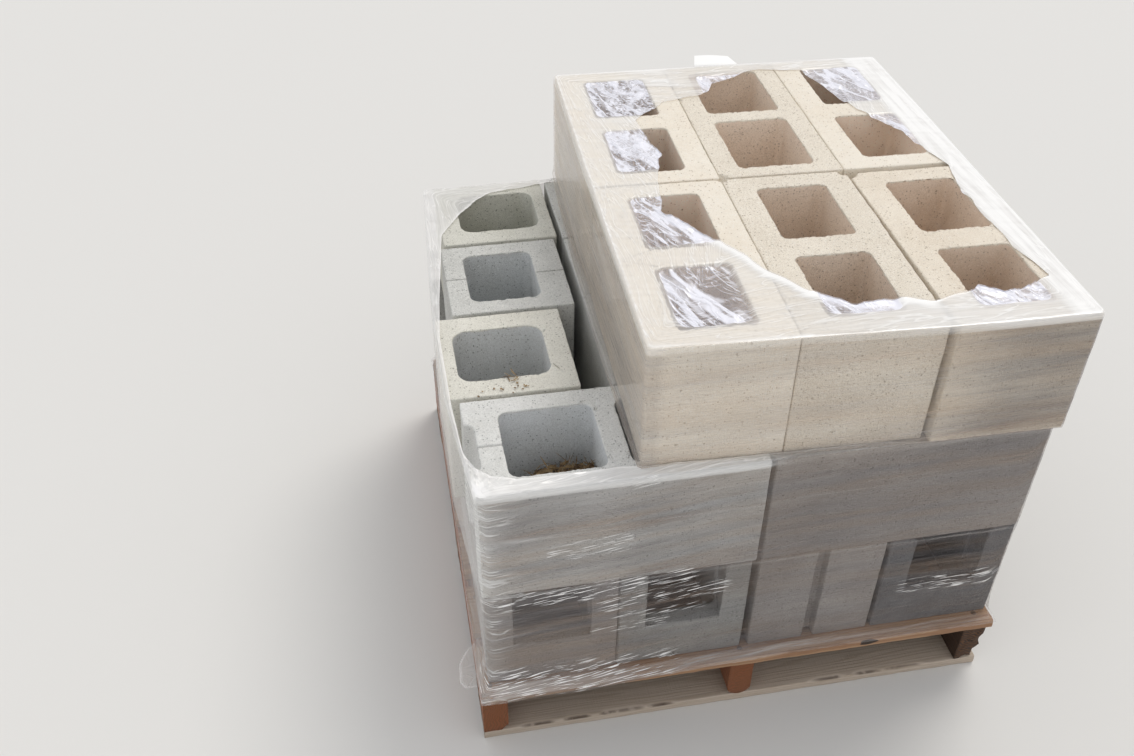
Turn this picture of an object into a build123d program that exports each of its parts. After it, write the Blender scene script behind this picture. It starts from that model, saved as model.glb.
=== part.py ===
"""A pallet of hollow concrete blocks: two grey layers and a smaller buff stack, held by stretch film.

Millimetres. The origin is on the floor, at the middle of the pallet's footprint. +X runs to the
right and +Y to the back, as seen by someone who stands in front of the load, and +Z is up.
"""
from build123d import *
import os

# Pallet: boards nailed across three stringers that stand on edge
pallet_wide = 813
stringer_long = 800
stringer_wide = 38
stringer_tall = 89
board_thick = 16
deck_board_wide = 95
deck_board_count = 7
deck_overhang = 12
bottom_board_wide = 110
wood_arris = 2

# Block: nominally 8 by 8 by 16 inches less a 3/8 inch joint, and a half block is a cube
block_wide = 194
block_tall = 194
block_long = 397
block_arris = 3

# Cores: drafted, so that each is wider at the bottom of its block
core_draft = 2.1
core_corner = 15
core_wide = 107
core_long = 141
core_web = 46

# Stretcher: two ears stand out at each end beside a shallow recess, and a score crosses each end web
stretcher_core_wide = 131
stretcher_core_long = 134
stretcher_web = 32
recess_deep = 14
recess_wide = 95
recess_corner = 12
score_wide = 3
score_deep = 12

# Bond beam block: its webs stop low, which leaves a channel over them from end to end
channel_wide = 114
channel_deep = 114
channel_bevel = 7
bond_core_long = 140
bond_web = 50

# Sash block: one upright groove in the front end
groove_wide = 18
groove_deep = 15

# Half blocks: the core lies a little off the middle
half_core_wide = 137
half_core_long = 121
half_core_corner = 22
half_core_off = 6
scored_core_wide = 113
scored_core_long = 133
scored_core_off = 7

# How the load lies: joints between blocks, and how far each layer is set in from the deck's edges
load_setback = 25
bottom_inset = 12
bottom_joints = [2, 12, 7]
row_joint = 4
middle_inset = 10
stretcher_joint = 7
half_row_joint = 8
half_shifts = {"front": -17, "middle": 12, "back": 19}
open_channel = 34
hidden_joint = 2

# The buff stack is turned as a whole, and its front right block has slid forward and turned back
stack_overhang = 6
stack_setback = 22
stack_turn = -1.8
front_joints = [1, 5]
back_joints = [1, 1]
slid_forward = 8
slid_turn = 0.8

# Stretch film, thicker than the real one, standing just off what it wraps
film_thick = 1
film_gap = 2
film_corner = 3
film_hem = 5
film_rise = 40
film_lip = 26

pallet_tall = 2 * board_thick + stringer_tall
middle_level = pallet_tall + block_tall
top_level = middle_level + block_tall
load_top = top_level + block_tall
deck_left = -pallet_wide / 2
deck_front = -stringer_long / 2 - deck_overhang
deck_deep = stringer_long + 2 * deck_overhang

os.makedirs("parts", exist_ok=True)


def save(part, name):
    """Labels a finished piece and writes it to the file of that name."""
    part.label = name
    export_step(part, f"parts/{name}.step")


def seat(x, y, level, turn=0):
    """The plane that a piece stands on: its middle, its height and its turn about the upright."""
    return Plane(Location((x, y, level), (0, 0, turn)))


def line_up(start, lengths, joints):
    """The middles of pieces laid in a line from start, with the joints left between them."""
    middles = []
    for length, gap in zip(lengths, [*joints, 0]):
        middles.append(start + length / 2)
        start += length + gap
    return middles


# Pallet

def timber(place, wide, deep, tall):
    """A sawn board or stringer standing on its seat, with its four long edges eased."""
    with BuildPart() as stick:
        with BuildSketch(place):
            Rectangle(wide, deep)
        extrude(amount=tall)
        grain = Axis.X if wide > deep else Axis.Y
        chamfer(stick.edges().filter_by(grain), length=wood_arris)
    return stick.part


sides = ("left", "middle", "right")
stringer_pitch = (pallet_wide - stringer_wide) / 2
for side, x in zip(sides, (-stringer_pitch, 0, stringer_pitch)):
    stringer = timber(seat(x, 0, board_thick), stringer_wide, stringer_long, stringer_tall)
    save(stringer, f"stringer_{side}")

depths = ("front", "middle", "back")
bottom_pitch = (stringer_long - bottom_board_wide) / 2
for depth, y in zip(depths, (-bottom_pitch, 0, bottom_pitch)):
    board = timber(seat(0, y, 0), pallet_wide, bottom_board_wide, board_thick)
    save(board, f"bottom_board_{depth}")

deck = []
deck_pitch = (deck_deep - deck_board_wide) / (deck_board_count - 1)
for number in range(deck_board_count):
    y = deck_front + deck_board_wide / 2 + number * deck_pitch
    board = timber(seat(0, y, board_thick + stringer_tall), pallet_wide, deck_board_wide, board_thick)
    deck.append(board)
    save(board, f"deck_board_{number + 1}")


# Blocks: each stands on its seat, lengthwise along the seat's Y

def outline(place, long=block_long):
    """The plan of a block, before anything is cut from it."""
    with BuildSketch(place) as plan:
        Rectangle(block_wide, long)
        chamfer(plan.vertices(), block_arris)
    return plan.sketch


def cores(mouth, wide, long, web=0, corner=core_corner, shift=0, count=2):
    """The spaces of a row of cores behind their narrow mouths, which lie in the plane given."""
    spaces = []
    for middle in GridLocations(wide, long + web, 1, count):
        own_mouth = Plane(mouth.location * Location((shift, 0, 0)) * middle)
        with BuildPart() as space:
            with BuildSketch(own_mouth):
                Rectangle(wide, long)
            extrude(amount=-block_tall)
            draft(space.faces().filter_by(own_mouth, reverse=True), own_mouth, core_draft)
            fillet(space.edges().filter_by(own_mouth, reverse=True), corner)
        spaces.append(space.part)
    return spaces


def corner_block(place, upturned=False):
    """A block with two cores and flat ends. Upturned, it has the wide ends of its cores on top."""
    mouth = Plane(place.origin, place.x_dir, -place.z_dir) if upturned else place.offset(block_tall)
    with BuildPart() as block:
        extrude(outline(place), amount=block_tall)
        add(cores(mouth, core_wide, core_long, core_web), mode=Mode.SUBTRACT)
    return block.part


def stretcher_block(place):
    """A block with two cores, eared ends and a score across each end web."""
    mouth = place.offset(block_tall)
    with BuildPart() as block:
        extrude(outline(place), amount=block_tall)
        add(cores(mouth, stretcher_core_wide, stretcher_core_long, stretcher_web), mode=Mode.SUBTRACT)
        with BuildSketch(place):
            with GridLocations(recess_wide, block_long, 1, 2):
                RectangleRounded(recess_wide, 2 * recess_deep, recess_corner)
        extrude(amount=block_tall, mode=Mode.SUBTRACT)
        with BuildSketch(mouth):
            Rectangle(score_wide, block_long)
            Rectangle(score_wide, stretcher_core_long + stretcher_web, mode=Mode.SUBTRACT)
        extrude(amount=-score_deep, mode=Mode.SUBTRACT)
    return block.part


def bond_beam_block(place):
    """A block whose webs stop low, so that a bevelled channel runs over its cores from end to end."""
    half = channel_wide / 2
    back_end = Plane(place.from_local_coords((0, block_long / 2, block_tall)), place.x_dir, place.y_dir)
    with BuildPart() as block:
        extrude(outline(place), amount=block_tall)
        add(cores(place.offset(block_tall), channel_wide, bond_core_long, bond_web), mode=Mode.SUBTRACT)
        with BuildSketch(back_end):
            with BuildLine():
                Polyline((-half - channel_bevel, 0), (-half, channel_bevel), (-half, channel_deep),
                         (half, channel_deep), (half, channel_bevel), (half + channel_bevel, 0), close=True)
            make_face()
        extrude(amount=-block_long, mode=Mode.SUBTRACT)
    return block.part


def sash_block(place):
    """A flat-ended block with an upright groove down the middle of its front end."""
    with BuildPart() as block:
        extrude(outline(place), amount=block_tall)
        add(cores(place.offset(block_tall), core_wide, core_long, core_web), mode=Mode.SUBTRACT)
        with BuildSketch(place):
            with Locations((0, -block_long / 2)):
                Rectangle(groove_wide, 2 * groove_deep)
        extrude(amount=block_tall, mode=Mode.SUBTRACT)
    return block.part


def half_block(place, shift):
    """A cube with one round-cornered core, shifted towards one of its walls."""
    space = cores(place.offset(block_tall), half_core_wide, half_core_long,
                  corner=half_core_corner, shift=shift, count=1)
    with BuildPart() as block:
        extrude(outline(place, block_wide), amount=block_tall)
        add(space, mode=Mode.SUBTRACT)
    return block.part


def scored_half_block(place, shift):
    """A cube with one core, and a score across the wall at either side of it."""
    mouth = place.offset(block_tall)
    with BuildPart() as block:
        extrude(outline(place, block_wide), amount=block_tall)
        add(cores(mouth, scored_core_wide, scored_core_long, shift=shift, count=1), mode=Mode.SUBTRACT)
        with BuildSketch(mouth):
            Rectangle(block_wide, score_wide)
        extrude(amount=-score_deep, mode=Mode.SUBTRACT)
    return block.part


# Bottom layer: four columns of two blocks, lengthwise from front to back

load_front = deck_front + load_setback
bottom_columns = line_up(deck_left + bottom_inset, [block_wide] * 4, bottom_joints)
front_row, back_row = line_up(load_front, [block_long] * 2, [row_joint])
bottom_layer = {
    "bond_beam_left": bond_beam_block(seat(bottom_columns[0], front_row, pallet_tall)),
    "bond_beam_middle": bond_beam_block(seat(bottom_columns[1], front_row, pallet_tall)),
    "sash_block": sash_block(seat(bottom_columns[2], front_row, pallet_tall)),
    "bond_beam_right": bond_beam_block(seat(bottom_columns[3], front_row, pallet_tall)),
}
for number, x in enumerate(bottom_columns, start=1):
    bottom_layer[f"bottom_back_block_{number}"] = stretcher_block(seat(x, back_row, pallet_tall))

# Middle layer: two stretchers across the front, a column of half blocks on the left, and the
# hidden blocks that carry the buff stack

middle_left = deck_left + middle_inset
middle_layer = {}
stretcher_columns = line_up(middle_left, [block_long] * 2, [stretcher_joint])
for side, x in zip(("left", "right"), stretcher_columns):
    place = seat(x, load_front + block_wide / 2, middle_level, 90)
    middle_layer[f"stretcher_front_{side}"] = stretcher_block(place)

stretcher_back = load_front + block_wide
half_rows = line_up(stretcher_back + half_row_joint, [block_wide] * 3, [half_row_joint] * 2)
for depth, y in zip(depths, half_rows):
    place = seat(middle_left + block_wide / 2 + half_shifts[depth], y, middle_level)
    if depth == "middle":
        piece = scored_half_block(place, -scored_core_off)
    else:
        piece = half_block(place, half_core_off if depth == "back" else -half_core_off)
    middle_layer[f"half_block_{depth}"] = piece

hidden_left = middle_left + block_wide + open_channel
hidden_columns = line_up(hidden_left, [block_wide] * 3, [hidden_joint] * 2)
hidden_rows = line_up(stretcher_back + row_joint, [block_long, block_wide], [row_joint])
for number, x in enumerate(hidden_columns, start=1):
    place = seat(x, hidden_rows[0], middle_level)
    middle_layer[f"hidden_block_{number}"] = corner_block(place)
    place = seat(x, hidden_rows[1], middle_level)
    middle_layer[f"hidden_half_{number}"] = half_block(place, 0)

# Top layer: the buff stack, laid out in its own turned plane

stack = seat(hidden_left - stack_overhang, load_front + stack_setback, top_level, stack_turn)


def in_stack(x, y, turn=0):
    """The seat of a block whose middle is x to the right and y back from the stack's corner."""
    return Plane(stack.location * Location((x, y, 0), (0, 0, turn)))


top_layer = {}
near, far = line_up(0, [block_long] * 2, [row_joint])
for side, x in zip(sides, line_up(0, [block_wide] * 3, front_joints)):
    forward, turn = (slid_forward, slid_turn) if side == "right" else (0, 0)
    top_layer[f"buff_block_front_{side}"] = corner_block(in_stack(x, near - forward, turn))
for side, x in zip(sides, line_up(0, [block_wide] * 3, back_joints)):
    top_layer[f"buff_block_back_{side}"] = corner_block(in_stack(x, far), upturned=side == "middle")

for layer in (bottom_layer, middle_layer, top_layer):
    for name, piece in layer.items():
        save(piece, name)


# Stretch film: pulled round the deck and the two grey layers below, and round the buff stack above

def tight_ring(place, pieces, grow=0):
    """The film's inner outline in plan, pulled tight round some pieces, or its outer one, grown by
    the thickness. The pieces are given as they lie in the plane's own axes."""
    boxes = [piece.bounding_box() for piece in pieces]
    with BuildSketch(place) as ring:
        for box in boxes:
            with Locations((box.center().X, box.center().Y)):
                Rectangle(box.size.X, box.size.Y)
        make_hull(ring.edges(), mode=Mode.REPLACE)
        offset(amount=film_gap + grow, kind=Kind.INTERSECTION)
        chamfer(ring.vertices(), film_corner)
    return ring.sketch


hem_level = pallet_tall - board_thick + film_hem
skirt_top = pallet_tall + film_rise
ledge = middle_level - film_gap
grey_load = [*bottom_layer.values(), *middle_layer.values()]
with BuildPart() as lower_wrap:
    for grow, mode in ((film_thick, Mode.ADD), (0, Mode.SUBTRACT)):
        deck_rings = [tight_ring(Plane.XY.offset(level), deck, grow) for level in (hem_level, pallet_tall)]
        bottom_ring = tight_ring(Plane.XY.offset(skirt_top), bottom_layer.values(), grow)
        loft([*deck_rings, bottom_ring], ruled=True, mode=mode)
        extrude(bottom_ring, amount=ledge - skirt_top, mode=mode)
        load_ring = tight_ring(Plane.XY.offset(ledge - grow), grey_load, grow)
        extrude(load_ring, amount=top_level - ledge + grow, mode=mode)
save(lower_wrap.part, "stretch_wrap_lower")

stacked = [stack.to_local_coords(piece) for piece in top_layer.values()]
with BuildPart() as upper_wrap:
    extrude(tight_ring(stack.offset(film_gap), stacked, film_thick), amount=block_tall + film_thick)
    extrude(tight_ring(stack.offset(film_gap), stacked), amount=block_tall, mode=Mode.SUBTRACT)
    mouth = tight_ring(stack.offset(block_tall), stacked, -film_lip)
    extrude(mouth, amount=film_gap + 2 * film_thick, mode=Mode.SUBTRACT)
save(upper_wrap.part, "stretch_wrap_upper")
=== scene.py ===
import bpy
import numpy as np
from mathutils import Matrix, Vector


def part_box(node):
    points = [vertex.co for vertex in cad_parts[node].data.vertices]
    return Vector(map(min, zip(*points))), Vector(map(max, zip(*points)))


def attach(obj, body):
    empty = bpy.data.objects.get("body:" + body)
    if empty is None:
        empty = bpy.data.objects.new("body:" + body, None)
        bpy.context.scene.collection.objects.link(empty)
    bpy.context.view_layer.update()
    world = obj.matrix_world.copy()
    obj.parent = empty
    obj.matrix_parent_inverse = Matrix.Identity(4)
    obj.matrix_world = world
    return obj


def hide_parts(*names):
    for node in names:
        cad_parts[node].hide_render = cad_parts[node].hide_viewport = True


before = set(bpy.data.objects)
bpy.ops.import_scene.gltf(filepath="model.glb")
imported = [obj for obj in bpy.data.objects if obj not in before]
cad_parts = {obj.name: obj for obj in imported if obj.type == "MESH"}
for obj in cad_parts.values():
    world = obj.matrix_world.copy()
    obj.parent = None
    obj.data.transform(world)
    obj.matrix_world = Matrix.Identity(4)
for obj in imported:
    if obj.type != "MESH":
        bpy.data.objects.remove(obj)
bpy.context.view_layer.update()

# Pallet timber. Rough sawn softwood, weathered: three stringers on edge with seven deck boards
# nailed over them and three bottom boards under them. The sections here take each stick's place
# and length from the frame; their shapes are in millimetres, as all shapes in this file are.

metre = 1000.0


def lumps(points, spacing, seed):
    """Smooth random heights between -1 and 1: a random number at each corner of a cubic lattice with
    that spacing, blended across each cell with 3t^2 - 2t^3."""
    scaled = np.asarray(points, float) / spacing
    cell = np.floor(scaled).astype(np.int64)
    part = scaled - cell
    blend = part * part * (3 - 2 * part)
    total = np.zeros(scaled.shape[:-1])
    for corner in np.ndindex(2, 2, 2):
        at = cell + corner
        mixed = at[..., 0] * 73856093 ^ at[..., 1] * 19349663 ^ at[..., 2] * 83492791 ^ seed * 374761393
        mixed = (mixed ^ (mixed >> 13)) * 1274126177 & 0xFFFFFFFF
        mixed = (mixed ^ (mixed >> 16)) & 0xFFFFFF
        share = np.prod(np.where(corner, blend, 1 - blend), axis=-1)
        total += share * (mixed / 0x7FFFFF - 1)
    return total


def grid_faces(rows, columns, closed_columns=True):
    """The corner numbers of the four-sided faces of a grid of points stored row after row. Closed
    columns run on from the last one to the first."""
    row = np.arange(rows - 1)
    column = np.arange(columns if closed_columns else columns - 1)
    here, along = np.meshgrid(row, column, indexing="ij")
    up, over = here + 1, (along + 1) % columns
    corners = [here * columns + along, here * columns + over, up * columns + over, up * columns + along]
    return np.stack(corners, -1).reshape(-1, 4)


def repeated_faces(rows, columns, count):
    """The faces of several closed grids of the same size, stored one after another."""
    return np.concatenate([grid_faces(rows, columns) + rows * columns * k for k in range(count)])


def weld(points, faces):
    """Joins points that lie together and splits the faces into triangles, without those that collapsed."""
    _, first, number = np.unique(np.round(points, 3), axis=0, return_index=True, return_inverse=True)
    corners = number.reshape(-1)[faces]
    triangles = np.concatenate([corners[:, [0, 1, 2]], corners[:, [0, 2, 3]]])
    a, b, c = triangles.T
    return points[first], triangles[(a != b) & (b != c) & (c != a)]


def outward(points, triangles):
    """The unit normal at each point: the sum of the normals of its triangles, weighted by area."""
    a, b, c = (points[triangles[:, k]] for k in range(3))
    facing = np.cross(b - a, c - a)
    total = np.stack([np.bincount(triangles.ravel(), np.repeat(facing[:, k], 3), len(points))
                      for k in range(3)], 1)
    return total / np.maximum(np.linalg.norm(total, axis=1, keepdims=True), 1e-9)


def bitten(points, centre, radius):
    """Pushes the points inside a ball out to its surface, as where a corner has broken away."""
    away = points - np.array(centre, float)
    reach = np.linalg.norm(away, axis=1, keepdims=True)
    return np.where(reach < radius, centre + away * radius / np.maximum(reach, 1e-6), points)


def add_piece(name, points, faces, material, slot=None):
    """Makes a smooth-shaded mesh object from points in millimetres and faces of one kind."""
    sides = faces.shape[1]
    mesh = bpy.data.meshes.new(name)
    mesh.vertices.add(len(points))
    mesh.vertices.foreach_set("co", (np.asarray(points, float) / metre).astype(np.float32).ravel())
    mesh.loops.add(faces.size)
    mesh.loops.foreach_set("vertex_index", faces.astype(np.int32).ravel())
    mesh.polygons.add(len(faces))
    mesh.polygons.foreach_set("loop_start", np.arange(0, faces.size, sides, dtype=np.int32))
    mesh.polygons.foreach_set("use_smooth", np.ones(len(faces), bool))
    mesh.update(calc_edges=True)
    mesh.materials.append(material)
    piece = bpy.data.objects.new(name, mesh)
    bpy.context.scene.collection.objects.link(piece)
    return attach(piece, "root")


def smooth(value, low, high):
    """Eases from 0 at low to 1 at high."""
    share = np.clip((value - low) / (high - low), 0, 1)
    return share * share * (3 - 2 * share)


def shared_field(piece, name, values, kind="FLOAT"):
    """Stores a number or a vector for each point of a mesh, for its material to read."""
    field = piece.data.attributes.new(name, kind, "POINT")
    part = "vector" if kind == "FLOAT_VECTOR" else "value"
    field.data.foreach_set(part, np.asarray(values, np.float32).ravel())


def effect_group(name, inputs, outputs):
    """A shader node group with named sockets. Returns the group and its input and output nodes."""
    group = bpy.data.node_groups.new(name, "ShaderNodeTree")
    for direction, sockets in (("INPUT", inputs), ("OUTPUT", outputs)):
        for socket_name, kind, value in sockets:
            socket = group.interface.new_socket(socket_name, in_out=direction,
                                                socket_type="NodeSocket" + kind)
            if value is not None:
                socket.default_value = value
    return group, group.nodes.new("NodeGroupInput"), group.nodes.new("NodeGroupOutput")


def node(tree, kind, links=(), **settings):
    """Adds a node. Settings are properties or input values, and links join its inputs to outputs."""
    made = tree.nodes.new("ShaderNode" + kind)
    for key, value in settings.items():
        if hasattr(made, key):
            setattr(made, key, value)
    for key, value in settings.items():
        if not hasattr(made, key):
            made.inputs[key.replace("_", " ")].default_value = value
    for key, source in dict(links).items():
        tree.links.new(source, made.inputs[key])
    return made


def blend_of(tree, share, first, second, how="MIX"):
    """A colour mixed from two, each a socket or a plain colour, by a share that is a socket or number."""
    made = tree.nodes.new("ShaderNodeMix")
    made.data_type = "RGBA"
    made.blend_type = how
    for place, value in ((0, share), (6, first), (7, second)):
        if isinstance(value, bpy.types.NodeSocket):
            tree.links.new(value, made.inputs[place])
        else:
            made.inputs[place].default_value = value
    return made.outputs[2]


def stretch_of(tree, value, low, high, out_low=0.0, out_high=1.0):
    """A value mapped smoothly from low..high to out_low..out_high, and held at the ends."""
    made = node(tree, "MapRange", {"Value": value}, interpolation_type="SMOOTHSTEP")
    for key, number in (("From Min", low), ("From Max", high), ("To Min", out_low), ("To Max", out_high)):
        made.inputs[key].default_value = number
    return made.outputs["Result"]


def sum_of(tree, *values, how="ADD"):
    """Values, sockets or numbers, taken together one after another by one operation."""
    total = values[0]
    for value in values[1:]:
        made = tree.nodes.new("ShaderNodeMath")
        made.operation = how
        for place, part in ((0, total), (1, value)):
            if isinstance(part, bpy.types.NodeSocket):
                tree.links.new(part, made.inputs[place])
            else:
                made.inputs[place].default_value = part
        total = made.outputs[0]
    return total


def product_of(tree, *values):
    """Values, sockets or numbers, multiplied together."""
    return sum_of(tree, *values, how="MULTIPLY")


def plain_material(name):
    """A new material with its tree, its surface shader and the object's own coordinates."""
    material = bpy.data.materials.new(name)
    material.use_nodes = True
    tree = material.node_tree
    return material, tree, tree.nodes["Principled BSDF"], node(tree, "TexCoord").outputs["Object"]


def use_group(tree, group, **links):
    """Places an effect group in a material, with each named input linked or set."""
    made = tree.nodes.new("ShaderNodeGroup")
    made.node_tree = group
    for key, value in links.items():
        socket = made.inputs[key.replace("_", " ")]
        if isinstance(value, bpy.types.NodeSocket):
            tree.links.new(value, socket)
        else:
            socket.default_value = value
    return made


def use_bump(tree, shader, height, distance):
    """Lets a height, in shares of a distance in metres, tilt the shader's normal."""
    made = node(tree, "Bump", {"Height": height}, Distance=distance)
    tree.links.new(made.outputs["Normal"], shader.inputs["Normal"])


# A year's growth is 4.6 mm wide and the rough grain 0.7 mm deep. Materials work in metres.
ring_spacing = 0.0046
grain_depth = 0.0007
weathered_grey, knot_brown, end_brown = (0.33, 0.29, 0.24, 1), (0.07, 0.035, 0.015, 1), (0.16, 0.065, 0.02, 1)
bark_brown, dust_and_shade_grey = (0.075, 0.05, 0.035, 1), (0.15, 0.145, 0.14, 1)


def sawn_grain():
    """Softwood whose grain runs along X: fibres drawn out a hundredfold, early and late wood in wavy
    bands, knots with the bands bent round them, rings on the cross-cut ends, and grey weathering."""
    group, given, made = effect_group(
        "sawn grain",
        [("Vector", "Vector", None), ("Facing", "Vector", None),
         ("Early wood", "Color", (0.5, 0.33, 0.17, 1)), ("Late wood", "Color", (0.25, 0.13, 0.05, 1)),
         ("Weathered", "Float", 0.3), ("Pith height", "Float", 0.1)],
        [("Color", "Color", None), ("Height", "Float", None)])
    place, early_wood, late_wood = (given.outputs[name] for name in ("Vector", "Early wood", "Late wood"))
    along = node(group, "Mapping", {"Vector": place}, Scale=(1.6, 22, 22)).outputs[0]
    waver = node(group, "TexNoise", {"Vector": along}, Scale=1.0, Detail=3.0).outputs["Fac"]
    split = node(group, "SeparateXYZ", {"Vector": place})
    lift = sum_of(group, split.outputs["Z"], given.outputs["Pith height"])
    ring = node(group, "CombineXYZ", {"X": split.outputs["Y"], "Y": lift})
    radius = node(group, "VectorMath", {0: ring.outputs[0]}, operation="LENGTH").outputs["Value"]
    knot_at = node(group, "Mapping", {"Vector": place}, Scale=(3.2, 9, 2)).outputs[0]
    knot = node(group, "TexVoronoi", {"Vector": knot_at}, Scale=1.0)
    knotted = stretch_of(group, knot.outputs["Distance"], 0.04, 0.3, 1.0, 0.0)
    across = node(group, "Mapping", {"Vector": place}, Scale=(0.7, 75, 75)).outputs[0]
    uneven = node(group, "TexNoise", {"Vector": across}, Scale=1.0, Detail=1.0).outputs["Fac"]
    bent = sum_of(group, radius, product_of(group, waver, 0.035), product_of(group, uneven, 0.011),
                  product_of(group, knotted, 0.008))
    phase = product_of(group, bent, 2 * np.pi / ring_spacing)
    wave = node(group, "Math", {0: phase}, operation="SINE").outputs[0]
    late = stretch_of(group, wave, -0.2, 0.95)
    fibre_at = node(group, "Mapping", {"Vector": place}, Scale=(14, 900, 900)).outputs[0]
    fibre = node(group, "TexNoise", {"Vector": fibre_at}, Scale=1.0, Detail=4.0).outputs["Fac"]
    saw_at = node(group, "Mapping", {"Vector": place}, Scale=(330, 6, 6)).outputs[0]
    saw = node(group, "TexNoise", {"Vector": saw_at}, Scale=1.0, Detail=2.0).outputs["Fac"]
    tint = blend_of(group, late, early_wood, late_wood)
    tint = blend_of(group, stretch_of(group, fibre, 0.35, 0.7, 0.0, 0.4), tint, late_wood)
    worn = node(group, "TexNoise", {"Vector": along}, Scale=0.5, Detail=5.0).outputs["Fac"]
    grey = product_of(group, stretch_of(group, worn, 0.3, 0.75), given.outputs["Weathered"])
    tint = blend_of(group, grey, tint, weathered_grey)
    core_of_knot = stretch_of(group, knot.outputs["Distance"], 0.03, 0.09, 1.0, 0.0)
    tint = blend_of(group, core_of_knot, tint, knot_brown)
    facing = node(group, "SeparateXYZ", {"Vector": given.outputs["Facing"]}).outputs["X"]
    end = stretch_of(group, node(group, "Math", {0: facing}, operation="ABSOLUTE").outputs[0], 0.7, 0.9)
    end_tint = blend_of(group, late, late_wood, end_brown)
    tint = blend_of(group, product_of(group, end, 0.6), tint, end_tint)
    height = sum_of(group, product_of(group, late, 0.2), product_of(group, fibre, 0.7),
                    product_of(group, saw, 0.5), product_of(group, core_of_knot, -0.6))
    group.links.new(tint, made.inputs["Color"])
    group.links.new(height, made.inputs["Height"])
    return group


grain = sawn_grain()


def timber_material(name, early, late, weathered, shift, lengthwise="X", pith=100, dust_and_shade=0.0):
    """One stick's own softwood: the shared grain, slid along so that no two sticks look the same, with
    dark bark left on its waney corners and, where asked, a dark grey on it under the load that is
    part fallen cement and part painted shade."""
    material, tree, shader, place = plain_material(name)
    turn = (0, 0, 0) if lengthwise == "X" else (0, 0, -np.pi / 2)
    own = node(tree, "Mapping", {"Vector": place}, Location=shift, Rotation=turn).outputs[0]
    normal = node(tree, "NewGeometry").outputs["Normal"]
    facing = node(tree, "Mapping", {"Vector": normal}, Rotation=turn).outputs[0]
    wood = use_group(tree, grain, Vector=own, Facing=facing, Early_wood=early, Late_wood=late,
                     Weathered=weathered, Pith_height=pith / metre)
    patchy = node(tree, "TexNoise", {"Vector": place}, Scale=60.0, Detail=4.0).outputs["Fac"]
    bark = product_of(tree, node(tree, "Attribute", attribute_name="bark").outputs["Fac"],
                      stretch_of(tree, patchy, 0.3, 0.5, 0.35, 1.0))
    tint = blend_of(tree, bark, wood.outputs["Color"], bark_brown)
    # Under the load the deck turns dark grey: partly fallen cement, partly painted shade.
    if dust_and_shade:
        spot = node(tree, "SeparateXYZ", {"Vector": place})
        sideways = node(tree, "Math", {0: spot.outputs["X"]}, operation="ABSOLUTE").outputs[0]
        dust_and_shade_mask = product_of(tree, stretch_of(tree, sideways, 0.37, 0.39, dust_and_shade, 0.0),
                             stretch_of(tree, spot.outputs["Y"], -0.386, -0.37),
                             stretch_of(tree, patchy, 0.2, 0.5, 0.6, 1.0))
        tint = blend_of(tree, dust_and_shade_mask, tint, dust_and_shade_grey)
    tree.links.new(tint, shader.inputs["Base Color"])
    shader.inputs["Roughness"].default_value = 0.78
    use_bump(tree, shader, wood.outputs["Height"], grain_depth)
    return material


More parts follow.
